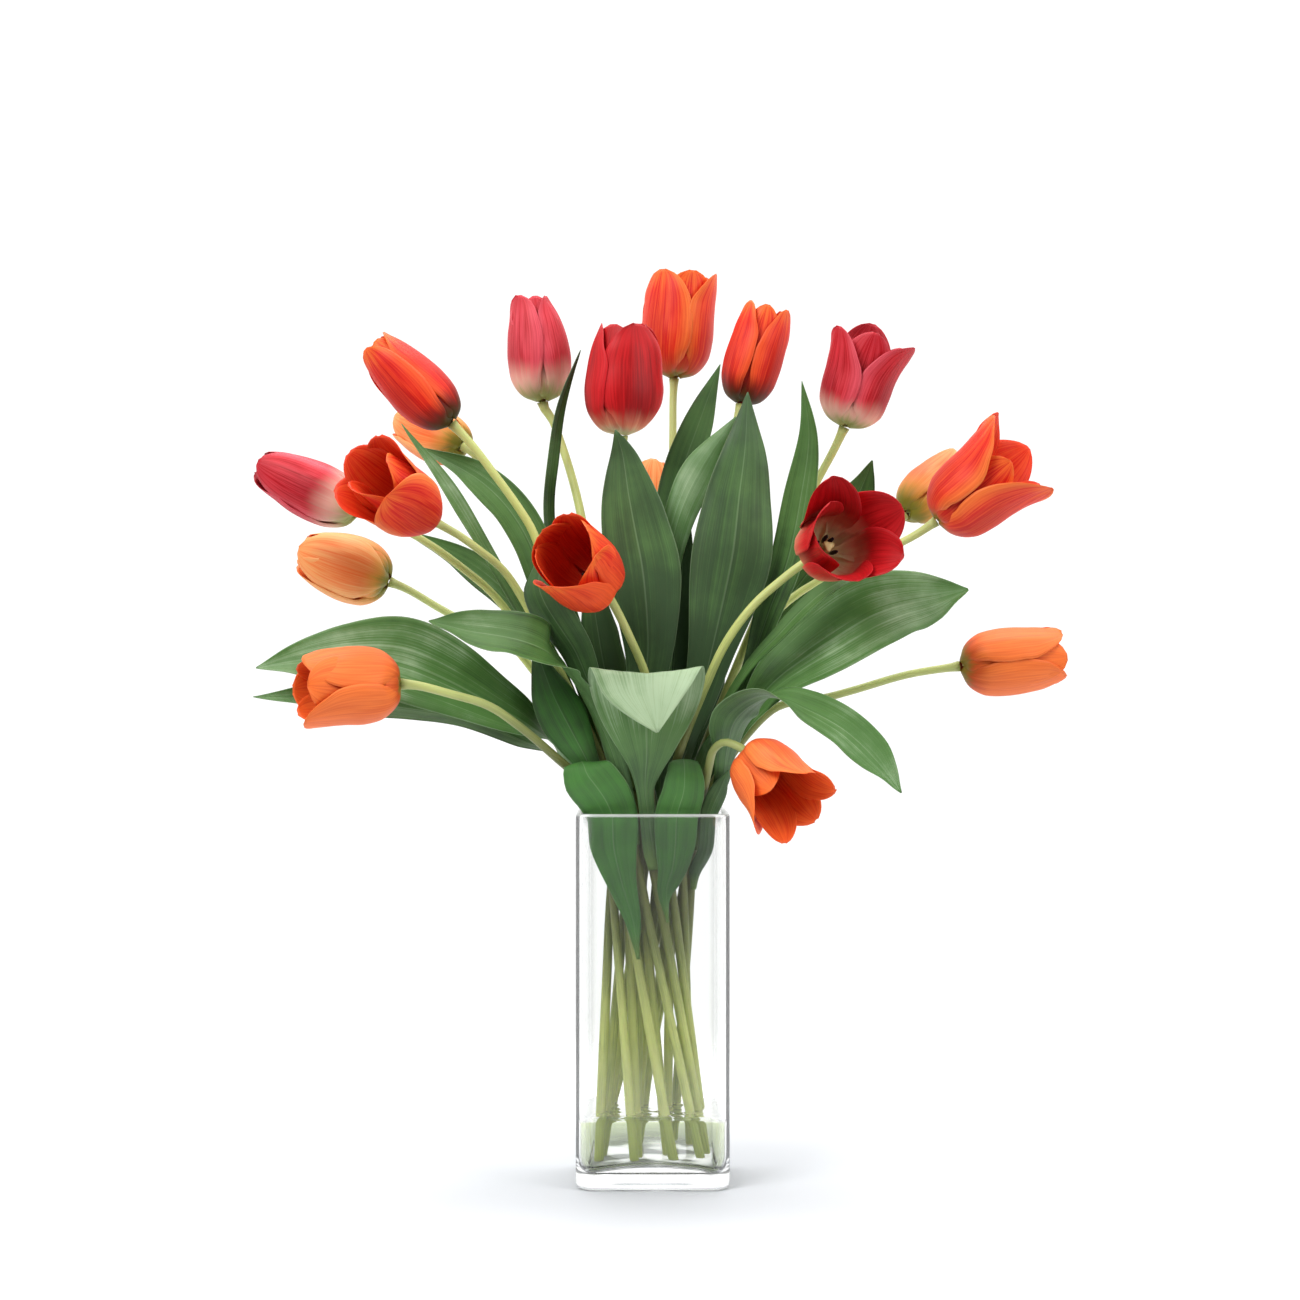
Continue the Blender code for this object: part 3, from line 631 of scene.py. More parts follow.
class TULIPS_OT_water(bpy.types.Operator):
    """Build the water, which climbs a little where it meets the glass and the stems"""

    bl_idname = "tulips.water"
    bl_label = "Water"

    def execute(self, context):
        settings = context.scene.tulip_vase
        half = settings.width / 2 - settings.wall + WATER_BITE
        corner = settings.corner - settings.wall + WATER_BITE
        stems = [stem_at(number, settings.level) for number in STEMS]
        rings = []
        for part in np.linspace(0.0, 0.985, 34) ** 0.6:
            points = square_ring(half * part, corner * part)
            climb = GLASS_CLIMB * np.exp(-(half - np.abs(points).max(axis=1)) / GLASS_REACH)
            for middle, radius in stems:
                off = np.linalg.norm(points - middle, axis=1) - radius
                climb = np.maximum(climb, STEM_CLIMB * np.exp(-np.maximum(off, 0) / STEM_REACH))
            swell = 0.5 * MM * ripple(3, points[:, 0] + 2 * points[:, 1], 70)
            swell = swell + 0.3 * MM * ripple(4, points[:, 1] - 0.5 * points[:, 0], 130)
            rings.append(risen(points, settings.level + climb + swell))
        levels = np.linspace(settings.level, settings.base + FLOOR_FILLET, 10)[1:]
        rings += inner_rings(settings, -WATER_BITE, levels)
        settle(ring_skin("vase_water", rings), "water", water_finish(settings))
        return {"FINISHED"}


# ---- Stems ----

STEM_SIDES = 14
STEM_STEP = 5 * MM  # from one ring of a stem to the next

# The cut end of a stem: the size of each of its first rings, as a share of the stem's, and how many
# millimetres up it is.
CUT_END = ((0.55, 0.35), (0.93, 0.0), (1.0, 0.5))


def stem_line(number):
    """Middles and radii of a stem's rings, from its foot up."""
    rings, _ = net_of("stem", number)
    middles = rings.mean(axis=1)
    return middles, np.linalg.norm(rings - middles[:, None], axis=2).mean(axis=1)


def stem_at(number, level):
    """Where a stem passes a level, and its radius at the foot."""
    middles, radii = stem_line(number)
    rising = middles[:np.argmax(middles[:, 2]) + 1]
    spot = [np.interp(level, rising[:, 2], rising[:, axis]) for axis in (0, 1)]
    return np.array(spot), radii[0]


def carried_sides(course, shares):
    """Two directions square to a course, which turn as little as they can along it."""
    before, after = np.maximum(shares - 0.002, 0), np.minimum(shares + 0.002, 1)
    along = unit(course.read(after) - course.read(before))
    sides = [np.array([1.0, 0.0, 0.0])]
    for way in along:
        side = sides[-1] - way * sides[-1].dot(way)
        sides.append(side / np.linalg.norm(side))
    sides = np.array(sides[1:])
    return sides, np.cross(along, sides)


def build_stem(number, material):
    middles, radii = stem_line(number)
    course = Course(middles)
    shares = np.linspace(0, 1, int(course.length / STEM_STEP))
    centres = course.read(shares)
    from_neck = (1 - shares) * course.length
    radius = course.read(shares, radii) * (1 + 0.035 * ripple(number, shares, 9))
    radius = radius + 1.1 * MM * np.exp(-from_neck / (5 * MM))
    angles = np.arange(STEM_SIDES) / STEM_SIDES * 2 * math.pi
    oval = 1 + 0.05 * np.cos(2 * angles + number) + 0.012 * np.cos(5 * angles + 3 * shares[:, None])
    out = spokes(*carried_sides(course, shares), angles)
    rings = centres[:, None] + out * (radius[:, None] * oval)[..., None]
    rings[0, :, 2] = centres[0, 2]
    foot = [centres[0] + (rings[0] - centres[0]) * size + (0, 0, rise * MM) for size, rise in CUT_END]
    points = np.concatenate([*foot, *rings[1:]])
    up = np.repeat([0.0, 0.0, *shares], STEM_SIDES)
    turn = np.tile(np.abs(angles / math.pi - 1), len(shares) + 2)
    height = points[:, 2]
    # The shade value is painted shade. It rises from 0.10 to 0.20 m up and falls from 0.28 to 0.36 m,
    # where the stems stand in the middle of the bunch.
    stem = made_mesh(
        f"cut_stem_{number:02d}", points, tube_faces(len(shares) + 2, STEM_SIDES),
        np.stack([turn, up * course.length], axis=-1),
        {"up": up, "shade": fade(height, 0.10, 0.20) * (1 - fade(height, 0.28, 0.36)),
         "tone": np.full(len(points), ripple(number, 0.5, 3))})
    settle(stem, f"stem_{number:02d}", material)


def stem_finish(settings):
    finish = Finish("stem_skin")
    place, _, along = finish.sheet_map()
    streak = finish.grain(place, (26.0, 30.0, 1.0), detail=4.0)
    patch = finish.grain(finish.place(), (55.0, 55.0, 28.0), detail=2.0)
    up, shade, tone = (finish.attribute(name) for name in ("up", "shade", "tone"))
    # Painted shade: the shade value darkens the stem through the deep colour and the shaded colour,
    # beside its real streaks and patches.
    streak_and_shade = finish.fade(streak + 0.35 * patch + 0.42 * shade + 0.12 * tone, 0.55, 1.15)
    skin = finish.over(
        settings.pale, (streak_and_shade, settings.deep), (0.75 * shade, settings.shaded),
        (0.7 * finish.fade(up, 0.72, 1.0), settings.neck),
        (1 - finish.fade(along, 0.2 * MM, 1.2 * MM), screen(206, 206, 150)))
    return finish.done(finish.principled({
        "Base Color": skin, "Roughness": 0.36 + 0.2 * streak, "Subsurface Weight": 0.12,
        "Subsurface Radius": (0.6, 1.0, 0.25), "Subsurface Scale": 0.004,
        "Normal": finish.bump(streak, 0.35, 0.25 * MM)}))


class TULIPS_OT_stems(bpy.types.Operator):
    """Build the cut stems that stand in the water"""

    bl_idname = "tulips.stems"
    bl_label = "Stems"

    def execute(self, context):
        material = stem_finish(context.scene.tulip_stem)
        for number in STEMS:
            build_stem(number, material)
        return {"FINISHED"}


# ---- Blades ----

BLADE_STEP = 3.2 * MM  # from one row of a blade to the next
PLACES = np.linspace(-1, 1, 29)  # across a blade, from one edge to the other

# How much each of the five lines of a blade's net weighs at those places.
WEIGHTS = np.vander(PLACES, 5, increasing=True) @ np.linalg.inv(
    np.vander(np.linspace(-1, 1, 5), 5, increasing=True))

# How a blade differs: its tone at the root and at the tip, from -1, dark, to 1, pale, which is partly
# its own green and partly painted shade and painted light, how bright and young its green is, how much
# its edges wave, how far its root draws in towards the stem and how wide its upper part is, as a share
# of its net's.
Blade = namedtuple("Blade", "root tip young wave drawn wide", defaults=(0.0, 0.8, 0.0, 1.0))

BLADES = {
    1: Blade(-0.95, -0.6, 0.0, 0.6), 2: Blade(-1.0, -0.6, 0.0, 0.6), 3: Blade(-0.8, -0.35, 0.1),
    4: Blade(-0.2, 0.35), 5: Blade(-0.7, -0.15), 6: Blade(-0.5, -0.3), 7: Blade(-0.15, 0.3, 0.1, 1.0),
    8: Blade(-0.45, 0.3, 0.1, 0.9), 9: Blade(-0.35, 0.0, 0.0, 1.1, 0.0, 1.35),
    10: Blade(-0.45, 1.0, 0.0, 0.5), 11: Blade(0.1, 0.4, 0.1, 1.0), 12: Blade(-0.3, 0.0),
    13: Blade(-0.3, 0.2), 14: Blade(-0.35, -0.05), 15: Blade(-0.4, -0.1),
    16: Blade(-0.6, -0.5, 0.0, 0.5), 17: Blade(-0.5, -0.5, 1.0, 0.6),
    18: Blade(-0.2, -0.25, 0.9, 0.5, 1.0), 19: Blade(-0.35, -0.3, 0.8, 0.5, 1.0),
    20: Blade(-0.8, -0.7, 0.2, 0.5, 0.7), 21: Blade(-0.8, -0.6, 0.1), 22: Blade(-0.3, 0.15),
}

# A small blade tucked in between the others: its stem and the height where it leaves it, how far the
# tip is from there, its width, all in millimetres, and its tone, which is dark as painted shade between
# the others.
Tuck = namedtuple("Tuck", "stem height run width tone")

TUCKED = [
    Tuck(8, 258, (-28, 2, 158), 30, -0.9), Tuck(10, 258, (12, 0, 196), 24, -1.0),
    Tuck(16, 252, (22, -14, 128), 24, -1.0), Tuck(14, 250, (28, -2, 92), 17, -0.8),
    Tuck(7, 256, (-20, 6, 120), 24, -1.1),
]

# Shares of the length of a tucked blade, and how wide it is there, as a share of its widest.
TUCKED_SHAPE = ((0, 0.15, 0.45, 0.7, 0.9, 1), (0.22, 0.5, 1, 0.86, 0.4, 0.02))


def blade_net(number):
    """The middle surface of a blade as (rings, 5, 3), from its left edge to its right one.

    Facing the upper side with the tip up, the left edge is on the viewer's right.
    """
    rings, tip = net_of("leaf", number)
    spans = np.linalg.norm(rings[0] - np.roll(rings[0], 4, axis=0), axis=1)
    rings = np.roll(rings, -int(np.argmax(spans[:4])), axis=1)
    first = rings[0]
    chord = (first[0] + first[4]) / 2
    if np.linalg.norm(first[2] - chord) > np.linalg.norm(first[6] - chord):
        rings = np.roll(rings[:, ::-1], 1, axis=1)
    first = rings[0]
    along = rings[1].mean(axis=0) - first.mean(axis=0)
    if np.dot(np.cross(along, first[2] - first[6]), first[4] - first[0]) < 0:
        rings = rings[:, [4, 3, 2, 1, 0, 7, 6, 5]]
    lines = (rings[:, :5] + rings[:, [0, 7, 6, 5, 4]]) / 2
    return np.concatenate([lines, np.tile(tip, (1, 5, 1))])


def build_blade(number, settings, material):
    look = BLADES[number]
    net = blade_net(number)
    course = Course(net[:, 2])
    along = np.linspace(0, 0.996, max(30, int(course.length / BLADE_STEP)))
    columns = course.read(along, net)
    middle = np.einsum("cw,rwx->rcx", WEIGHTS, columns)
    facing = facing_of(middle)
    drawn = 1 - 0.75 * look.drawn * (1 - fade(along, 0.0, 0.22))
    drawn = drawn + (look.wide - 1) * fade(along, 0.42, 0.72)
    stalk = middle[:, len(PLACES) // 2, None]
    middle = stalk + (middle - stalk) * drawn[:, None, None]
    u, v = np.meshgrid(PLACES, along)
    span = course.length / 0.1
    size = np.minimum(np.linalg.norm(columns[:, 4] - columns[:, 0], axis=1)[:, None] / (40 * MM), 1.2)
    wave = (ripple(number, along, span * 0.9)[:, None] * np.maximum(u, 0) ** 2.5
            + ripple(number + 40, along, span * 0.9)[:, None] * np.maximum(-u, 0) ** 2.5)
    lift = 5.0 * MM * settings.wave * look.wave * wave * size
    lift += 0.8 * MM * ripple(number + 80, along, span * 0.6)[:, None] * size
    lift += 0.10 * MM * np.cos(u * math.pi * 7) * np.minimum(size, 1)
    lift -= 0.8 * MM * np.exp(-np.abs(u) / 0.11) * size
    body = fade(v, 0.12, 0.35) * (1 - fade(v, 0.9, 1.0))
    middle = middle + facing * (lift * body)[..., None]
    sheets = Sheets()
    tone = look.root + (look.tip - look.root) * fade(v, 0.3, 0.85)
    sheets.add(middle, u, v, settings.thickness, tone, young=look.young)
    settle(sheets.build(f"blade_{number:02d}"), f"leaf_{number:02d}", material)


def build_tucked(number, tuck, settings, material):
    root = np.array([*stem_at(tuck.stem, tuck.height * MM)[0], tuck.height * MM])
    u, v = np.meshgrid(np.linspace(-1, 1, 13), np.linspace(0, 0.997, 46))
    rows = v[:, :1]
    run = np.array(tuck.run) * MM
    across = unit(np.cross(run, (0.15, 1.0, 0.1)))
    facing = unit(np.cross(across, run))
    bow = 5 * MM * np.sin(rows * math.pi) + 2 * MM * ripple(number + 200, rows, 3)
    spine = root + run * rows + across * bow - facing * (6 * MM * rows**2)
    half = tuck.width / 2 * MM * np.interp(rows, *TUCKED_SHAPE)
    rise = 0.35 * half * u**2 + 1.5 * MM * u * ripple(number + 210, rows, 4)
    middle = spine[:, None] + across * (half * u)[..., None] + facing * rise[..., None]
    sheets = Sheets()
    sheets.add(middle, u, v, settings.thickness, tuck.tone, young=0.1)
    settle(sheets.build(f"tucked_blade_{number:02d}"), None, material)


def blade_finish(settings):
    finish = Finish("blade_skin")
    place, across, along = finish.sheet_map()
    tone, back, young = (finish.attribute(name) for name in ("tone", "back", "young"))
    veins = finish.grain(place, (62.0, 1.2, 1.0), detail=4.0, rough=0.7)
    broad = finish.grain(place, (8.0, 1.1, 1.0), detail=2.0)
    mottle = finish.grain(finish.place(), 30.0, detail=4.0)
    off_middle = abs(2 * across - 1)
    # Tone brings in each blade's own green together with painted shade and painted light.
    paleness = 0.52 + 0.5 * tone + 0.95 * (veins - 0.5) + 0.7 * (broad - 0.5) + 0.8 * (mottle - 0.5)
    midrib, rim = 1 - finish.fade(off_middle, 0.0, 0.035), finish.fade(off_middle, 0.965, 1.0)
    root = 1 - finish.fade(along, 0.0, 0.14)
    skin = finish.over(
        settings.dark,
        (finish.fade(paleness, 0.0, 0.6), finish.mix(young, settings.green, settings.bright)),
        (0.85 * finish.fade(paleness, 0.55, 1.15), settings.pale), (0.16 * back, settings.under),
        (0.16 * midrib, settings.pale), (0.3 * rim, settings.pale), (0.6 * root, screen(120, 148, 74)))
    surface = finish.principled({
        "Base Color": skin, "Roughness": 0.42 + 0.16 * mottle, "Specular IOR Level": 0.35,
        "Normal": finish.bump(veins + 0.3 * mottle, 0.4, 0.3 * MM)})
    return finish.done(lit_through(finish, surface, screen(96, 160, 40), 0.08))


class TULIPS_OT_blades(bpy.types.Operator):
    """Build the leaf blades that clasp the stems"""

    bl_idname = "tulips.blades"
    bl_label = "Blades"

    def execute(self, context):
        settings = context.scene.tulip_blade
        material = blade_finish(settings)
        for number in LEAVES:
            build_blade(number, settings, material)
        for number, tuck in enumerate(TUCKED, 1):
            build_tucked(number, tuck, settings, material)
        return {"FINISHED"}


# ---- Heads ----

PETAL_COLUMNS = 21
PETAL_ROWS = 34
WIDEST = 0.52  # the share of a petal's length where it is widest
OVERLAP = 1.14  # how much wider an outer petal is than an inner one

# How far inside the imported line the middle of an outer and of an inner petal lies, and how much more
# tightly the inner one curls.
OUTER_INSET, INNER_INSET, INNER_CURL = 0.35 * MM, 2.1 * MM, 2.2 * MM

# How a head differs: its colours, which of its six petals are the outer three (0 or 1), how light it
# is, with less than 0 for a deep one, how far its base colour rises as a share of its petals' length,
# how far their upper rim flares outwards, how pointed they are and how wide.
Head = namedtuple("Head", "kind outer light base flare point width",
                  defaults=(0, 0.0, 0.2, 0.0, 0.5, 1.0))

HEADS = {
    1: Head("flame", 0, 0.0, 0.22, 0.0, 0.6), 2: Head("peach", 0, -0.4, 0.2),
    3: Head("crimson", 0, -0.1, 0.3), 4: Head("orange", 1, -0.3, 0.12, 0.1, 0.4),
    5: Head("peach", 0, 0.6, 0.2), 6: Head("orange", 0, 1.35, 0.16, 0.05),
    7: Head("crimson", 0, 0.4, 0.28, 0.0, 0.5, 0.95), 8: Head("red", 1, 0.0, 0.2, 0.0, 0.4),
    9: Head("orange", 0, 0.0, 0.16, 0.05, 0.4), 10: Head("flame", 0, 0.1, 0.24, 0.0, 0.8, 0.92),
    11: Head("crimson", 0, -0.4, 0.26, 0.0, 0.7, 0.98), 12: Head("peach", 0, 0.0, 0.3),
    13: Head("flame", 1, 0.5, 0.1, 0.1, 0.3), 14: Head("red", 1, 0.4, 0.36, -0.2, 0.5, 0.86),
    15: Head("orange", 0, -0.4, 0.12, 0.1, 1.0, 0.9), 16: Head("peach", 0, 0.0, 0.3),
    17: Head("orange", 0, 1.8, 0.2, 0.0, 0.5, 0.95), 18: Head("orange", 0, 1.1, 0.26, 0.0, 0.7, 0.84),
}

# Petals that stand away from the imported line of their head: how far the tip moves outwards and
# sideways, in millimetres, and its length, as a share of the line's.
Pose = namedtuple("Pose", "out side long", defaults=(0.0, 0.0, 1.0))
POSES = {
    (14, 0): Pose(-14, 4, 0.97), (14, 1): Pose(-6, 6, 1.04), (14, 2): Pose(6, 6, 1.0),
    (14, 3): Pose(7, -5, 1.0), (14, 4): Pose(-1, 7, 1.08), (14, 5): Pose(-16, -12, 1.08),
    (11, 0): Pose(-1, 0, 0.97), (11, 1): Pose(-2, 0, 0.92), (11, 2): Pose(-5, 0, 1.08),
    (11, 3): Pose(-5, 0, 0.95), (11, 4): Pose(-4, 3, 1.0), (11, 5): Pose(-4, 0, 1.0),
    (18, 1): Pose(-4, 0, 0.86), (18, 4): Pose(-2, 0, 0.92), (15, 1): Pose(0, 0, 0.9),
    (15, 5): Pose(-4, 0, 0.88), (4, 3): Pose(8, 0, 0.94), (4, 2): Pose(-12, -10, 1.05),
    (13, 1): Pose(7, 0, 0.95), (13, 0): Pose(3, 9, 0.88), (13, 2): Pose(0, -6, 0.95),
}


def head_net(number):
    """The base, axis, and outer lines of the six petals of a head as (6, 7, 3)."""
    rings, _ = net_of("bloom", number)
    base = rings[0].mean(axis=0)
    axis = unit(np.cross(rings[0][3] - rings[0][0], rings[0][6] - rings[0][0]))
    if axis.dot(rings[6].mean(axis=0) - base) < 0:
        axis = -axis
    tips = (rings[6] - base) @ axis
    first = 0 if tips[0::2].sum() > tips[1::2].sum() else 1
    return base, axis, rings[:7, first::2].transpose(1, 0, 2)


def petal_width(v, point):
    """Half width of a petal at shares of its length, as a share of its widest."""
    low = 0.30 + 0.70 * np.sin(np.clip(v / WIDEST, 0, 1) * math.pi / 2) ** 0.9
    t = np.clip((v - WIDEST) / (1 - WIDEST), 0, 1)
    blunt = np.sqrt(np.maximum(1 - t ** (2.9 - 0.9 * point), 0))
    sharp = 1 - t ** (2.0 - 0.3 * point)
    return np.where(v < WIDEST, low, blunt * (1 - 0.45 * point) + sharp * 0.45 * point)


def off_axis(offset, axis):
    """How far places lie from an axis through the origin, and the direction to each from it."""
    away = offset - (offset @ axis)[:, None] * axis
    return np.linalg.norm(away, axis=1), unit(away)


def petal_grid(base, axis, line, key, look, pose, settings, inner):
    """The middle surface of one petal as (rows, columns, 3), with u across it and v along it."""
    v = np.linspace(0, 1, PETAL_ROWS) ** 0.92 * 0.997
    rows = v[:, None]
    spine = Course(line).read(v * pose.long)
    _, radial = off_axis(spine - base, axis)
    spine = spine + radial * (pose.out * MM * rows**1.7)
    spine = spine + np.cross(axis, radial) * (pose.side * MM * rows**2)
    reach, radial = off_axis(spine - base, axis)
    tangent = unit(np.gradient(spine, axis=0))
    outward = unit(radial - tangent * (radial * tangent).sum(axis=1)[:, None])
    sideways = np.cross(tangent, outward)

    widest = np.interp(0.5, v, reach)
    half = widest * (1.0 if inner else OVERLAP) * look.width * petal_width(v, look.point)
    hug = np.maximum(reach, 0.3 * widest)
    curl = hug + (0.5 * widest - 0.38 * hug) * fade(v, 0.5, 1.0)
    curl = np.maximum(curl - (INNER_CURL if inner else 0), 2.6 * MM)[:, None]
    u = np.linspace(-1, 1, PETAL_COLUMNS)
    angle = np.clip(u * half[:, None] / curl, -1.5, 1.5)
    sunk = curl * (1 - np.cos(angle)) + (INNER_INSET if inner else OUTER_INSET)

    body = fade(rows, 0.05, 0.3) * (1 - fade(rows, 0.82, 1))
    edge = u**2
    ruffle = (ripple(key, rows, 6) * np.maximum(u, 0) ** 2
              + ripple(key + 50, rows, 6) * np.maximum(-u, 0) ** 2)
    sway = 0.35 * MM * ripple(key + 90, rows, 3)
    lift = 2.6 * MM * settings.ruffle * (ruffle + 0.25 * edge) * fade(rows, 0.3, 0.8)
    lift += (sway - np.abs(sway) * (1 if inner else -1)) * body
    lift += look.flare * 6 * MM * fade(rows, 0.45, 0.95) * edge
    lift += (0.7 * u - 0.5 * np.exp(-(u / 0.14) ** 2) + 0.11 * np.cos(u * math.pi * 6)) * MM * body
    lean = 2.2 * MM * ripple(key + 20, 0.4, 3) * fade(rows, 0.6, 1.0)
    middle = (spine[:, None] + sideways[:, None] * (curl * np.sin(angle) + lean)[..., None]
              + outward[:, None] * (lift - sunk)[..., None])
    return middle, *np.meshgrid(u, v)


def build_head(number, settings, materials):
    look = HEADS[number]
    base, axis, lines = head_net(number)
    for inner, layer in enumerate(("outer", "inner")):
        sheets = Sheets()
        for petal in range(3):
            column = (2 * petal + (look.outer + inner) % 2) % 6
            key = number * 6 + column
            pose = POSES.get((number, column), Pose())
            grid = petal_grid(base, axis, lines[column], key, look, pose, settings, inner)
            sheets.add(*grid, settings.thickness, look.light + 0.3 * ripple(key, 0.37, 5))
        settle(sheets.build(f"{layer}_petals_{number:02d}"),
               None if inner else f"bloom_{number:02d}", materials[look.kind, look.base])


def petal_finish(kind, rise, settings):
    """Petal skin: a pale base that flames upwards, a deep middle, and a lighter rim and tip."""
    base, band, body, flame, rim, tip, lining = (getattr(settings, f"{kind}_{part}")
                                                 for part in PETAL_PARTS)
    finish = Finish(f"petal_{kind}_{round(rise * 100)}")
    place, across, along = finish.sheet_map()
    back, tone = finish.attribute("back"), finish.attribute("tone")
    streaks = finish.grain(place, (44.0, 1.7, 1.0), detail=4.0, rough=0.6)
    broad = finish.grain(place, (6.0, 1.4, 1.0), detail=2.0)
    off_middle = abs(2 * across - 1)
    wander = 0.55 * (streaks - 0.5) + 0.7 * (broad - 0.5)
    centre = 1 - finish.fade(off_middle + wander, 0.0, 0.75)
    centre = centre * (1 - finish.fade(along + wander, 0.45, 0.95))
    rising = along + 0.06 * off_middle + 0.25 * wander
    skin = finish.over(
        body, (finish.fade(0.5 * tone + wander, -0.1, 0.62), rim),
        (finish.fade(off_middle + 0.4 * wander, 0.55, 0.98), rim),
        (centre * (0.9 - 0.5 * tone), flame),
        (0.7 * finish.fade(along + 0.5 * wander, 0.8, 1.0), tip),
        (back * (0.85 - 0.4 * tone), lining),
        (0.28, finish.mix(finish.fade(streaks, 0.36, 0.64), flame, rim)),
        (1 - finish.fade(rising, rise * 0.7, rise * 1.75), band),
        (1 - finish.fade(rising, rise * 0.3, rise * 1.05), base))
    surface = finish.principled({
        "Base Color": skin, "Roughness": 0.40 + 0.18 * streaks, "Specular IOR Level": 0.3,
        "Normal": finish.bump(streaks + 0.4 * broad, 0.28, 0.3 * MM)})
    return finish.done(lit_through(finish, surface, body, 0.14))


class TULIPS_OT_heads(bpy.types.Operator):
    """Build the outer and inner petals of every head"""

    bl_idname = "tulips.heads"
    bl_label = "Heads"

    def execute(self, context):
        settings = context.scene.tulip_petal
        looks = sorted({(look.kind, look.base) for look in HEADS.values()})
        materials = {look: petal_finish(*look, settings) for look in looks}
        for number in STEMS:
            build_head(number, settings, materials)
        return {"FINISHED"}


# ---- Hearts ----

# The pistil: shares of its length, and its radius there in millimetres.
PISTIL = ((0.16, 1.6), (0.2, 2.3), (0.45, 2.5), (0.78, 1.9), (0.9, 2.3), (0.97, 3.4), (1.0, 2.4))

# The two parts of a stamen: shares of its length, and in millimetres how far from the axis of the
# head each is, and its radius.
FILAMENT = ((0.16, 2.6, 0.7), (0.3, 4.0, 0.65), (0.46, 5.0, 0.55), (0.54, 5.3, 0.4))
ANTHER = ((0.42, 5.2, 0.5), (0.5, 5.5, 1.15), (0.66, 6.2, 1.45), (0.84, 6.9, 1.3), (0.96, 7.2, 0.9),
          (1.0, 7.25, 0.3))


class Rods(Gathered):
    """Round rods, each along a few points, with a radius for each point."""

    def add(self, middles, radii, sides, tone, lobes=0.0):
        along = unit(np.gradient(middles, axis=0))
        side = unit(np.cross(along, (0.31, 0.83, 0.46)))
        angles = np.arange(sides) / sides * 2 * math.pi
        climb = np.linspace(0, 1, len(radii))
        swell = 1 + lobes * fade(climb, 0.6, 0.9)[:, None] * np.cos(3 * angles)
        out = spokes(side, np.cross(along, side), angles)
        rings = middles[:, None] + out * (radii[:, None] * swell)[..., None]
        self.take(rings.reshape(-1, 3), tube_faces(len(rings), sides, self.count),
                  np.stack(np.meshgrid(np.abs(angles / math.pi - 1), climb), axis=-1).reshape(-1, 2),
                  tone=tone)


def build_heart(number, settings, pistil_skin, stamen_skin):
    base, axis, _ = head_net(number)
    side = unit(np.cross(axis, (0.2, 0.9, 0.3)))
    other = np.cross(axis, side)
    ups, radii = np.array(PISTIL).T
    pistil = Rods()
    pistil.add(base + axis * (ups * settings.reach * 1.05)[:, None], radii * MM, 18, 0.0, lobes=0.28)
    settle(pistil.build(f"pistil_{number:02d}"), None, pistil_skin)
    stamens = Rods()
    for turn in range(6):
        angle = turn * math.pi / 3 + 0.3 * ripple(number * 7 + turn, 0.4, 3) + number
        out = side * math.cos(angle) + other * math.sin(angle)
        tall = settings.reach * (0.92 + 0.08 * math.sin(5 * turn + number))
        for part, sides, tone in ((FILAMENT, 8, 0.0), (ANTHER, 10, 1.0)):
            ups, aways, radii = np.array(part).T[..., None]
            stamens.add(base + axis * tall * ups + out * aways * MM, radii[:, 0] * MM, sides, tone)
    settle(stamens.build(f"stamens_{number:02d}"), None, stamen_skin)


def pistil_finish(settings):
    finish = Finish("pistil_skin")
    place, _, along = finish.sheet_map()
    streak = finish.grain(place, (14.0, 2.0, 1.0))
    skin = finish.over(screen(160, 176, 96), (finish.fade(streak, 0.3, 0.7), settings.pistil),
                       (finish.fade(along + 0.2 * streak, 0.82, 0.98), screen(236, 222, 150)))
    return finish.done(finish.principled({
        "Base Color": skin, "Roughness": 0.4 + 0.2 * streak,
        "Normal": finish.bump(streak, 0.4, 0.2 * MM)}))


def stamen_finish(settings):
    finish = Finish("stamen_skin")
    pollen = finish.grain(finish.place(), 900.0, detail=4.0)
    dusty = finish.mix(0.6 * finish.fade(pollen, 0.45, 0.7), settings.anther, screen(86, 66, 62))
    return finish.done(finish.principled({
        "Base Color": finish.mix(finish.attribute("tone"), screen(204, 206, 140), dusty),
        "Roughness": 0.75 + 0.2 * pollen, "Normal": finish.bump(pollen, 0.7, 0.25 * MM)}))


class TULIPS_OT_hearts(bpy.types.Operator):
    """Build the pistil and the stamens inside every head"""

    bl_idname = "tulips.hearts"
    bl_label = "Hearts"

    def execute(self, context):
        settings = context.scene.tulip_heart
        pistil_skin, stamen_skin = pistil_finish(settings), stamen_finish(settings)
        for number in STEMS:
            build_heart(number, settings, pistil_skin, stamen_skin)
        return {"FINISHED"}


# ---- Stage ----

CAMERA_PLACE = (-0.0018, -1.992, 0.356)
CAMERA_LENS = 81.8

FLOOR_SIDES = 64
FLOOR_RINGS = (0.05, 0.2, 0.5, 0.9)
FLOOR_DROP = 0.05 * MM  # below the underside of the vase, so that the two don't fight

# Each soft light: its name, place, the height on the axis of the vase that it aims at, its size and
# its power, as a share of the key light's.
LIGHTS = (
    ("key_light", (-1.3, -1.7, 2.0), 0.35, (1.3, 1.3), 1.0),
    ("fill_light", (1.7, -1.3, 1.0), 0.35, (1.0, 1.2), 0.35),
    ("top_light", (0.1, 0.4, 2.2), 0.3, (1.6, 1.2), 0.5),
)


def soft_light(name, place, aim, size, power):
    light = bpy.data.lights.new(name, "AREA")
    light.shape = "RECTANGLE"
    light.size, light.size_y = size
    light.energy = power
    lamp = bpy.data.objects.new(name, light)
    lamp.location = place
    lamp.rotation_euler = (Vector((0, 0, aim)) - Vector(place)).to_track_quat("-Z", "Y").to_euler()
    bpy.context.scene.collection.objects.link(lamp)


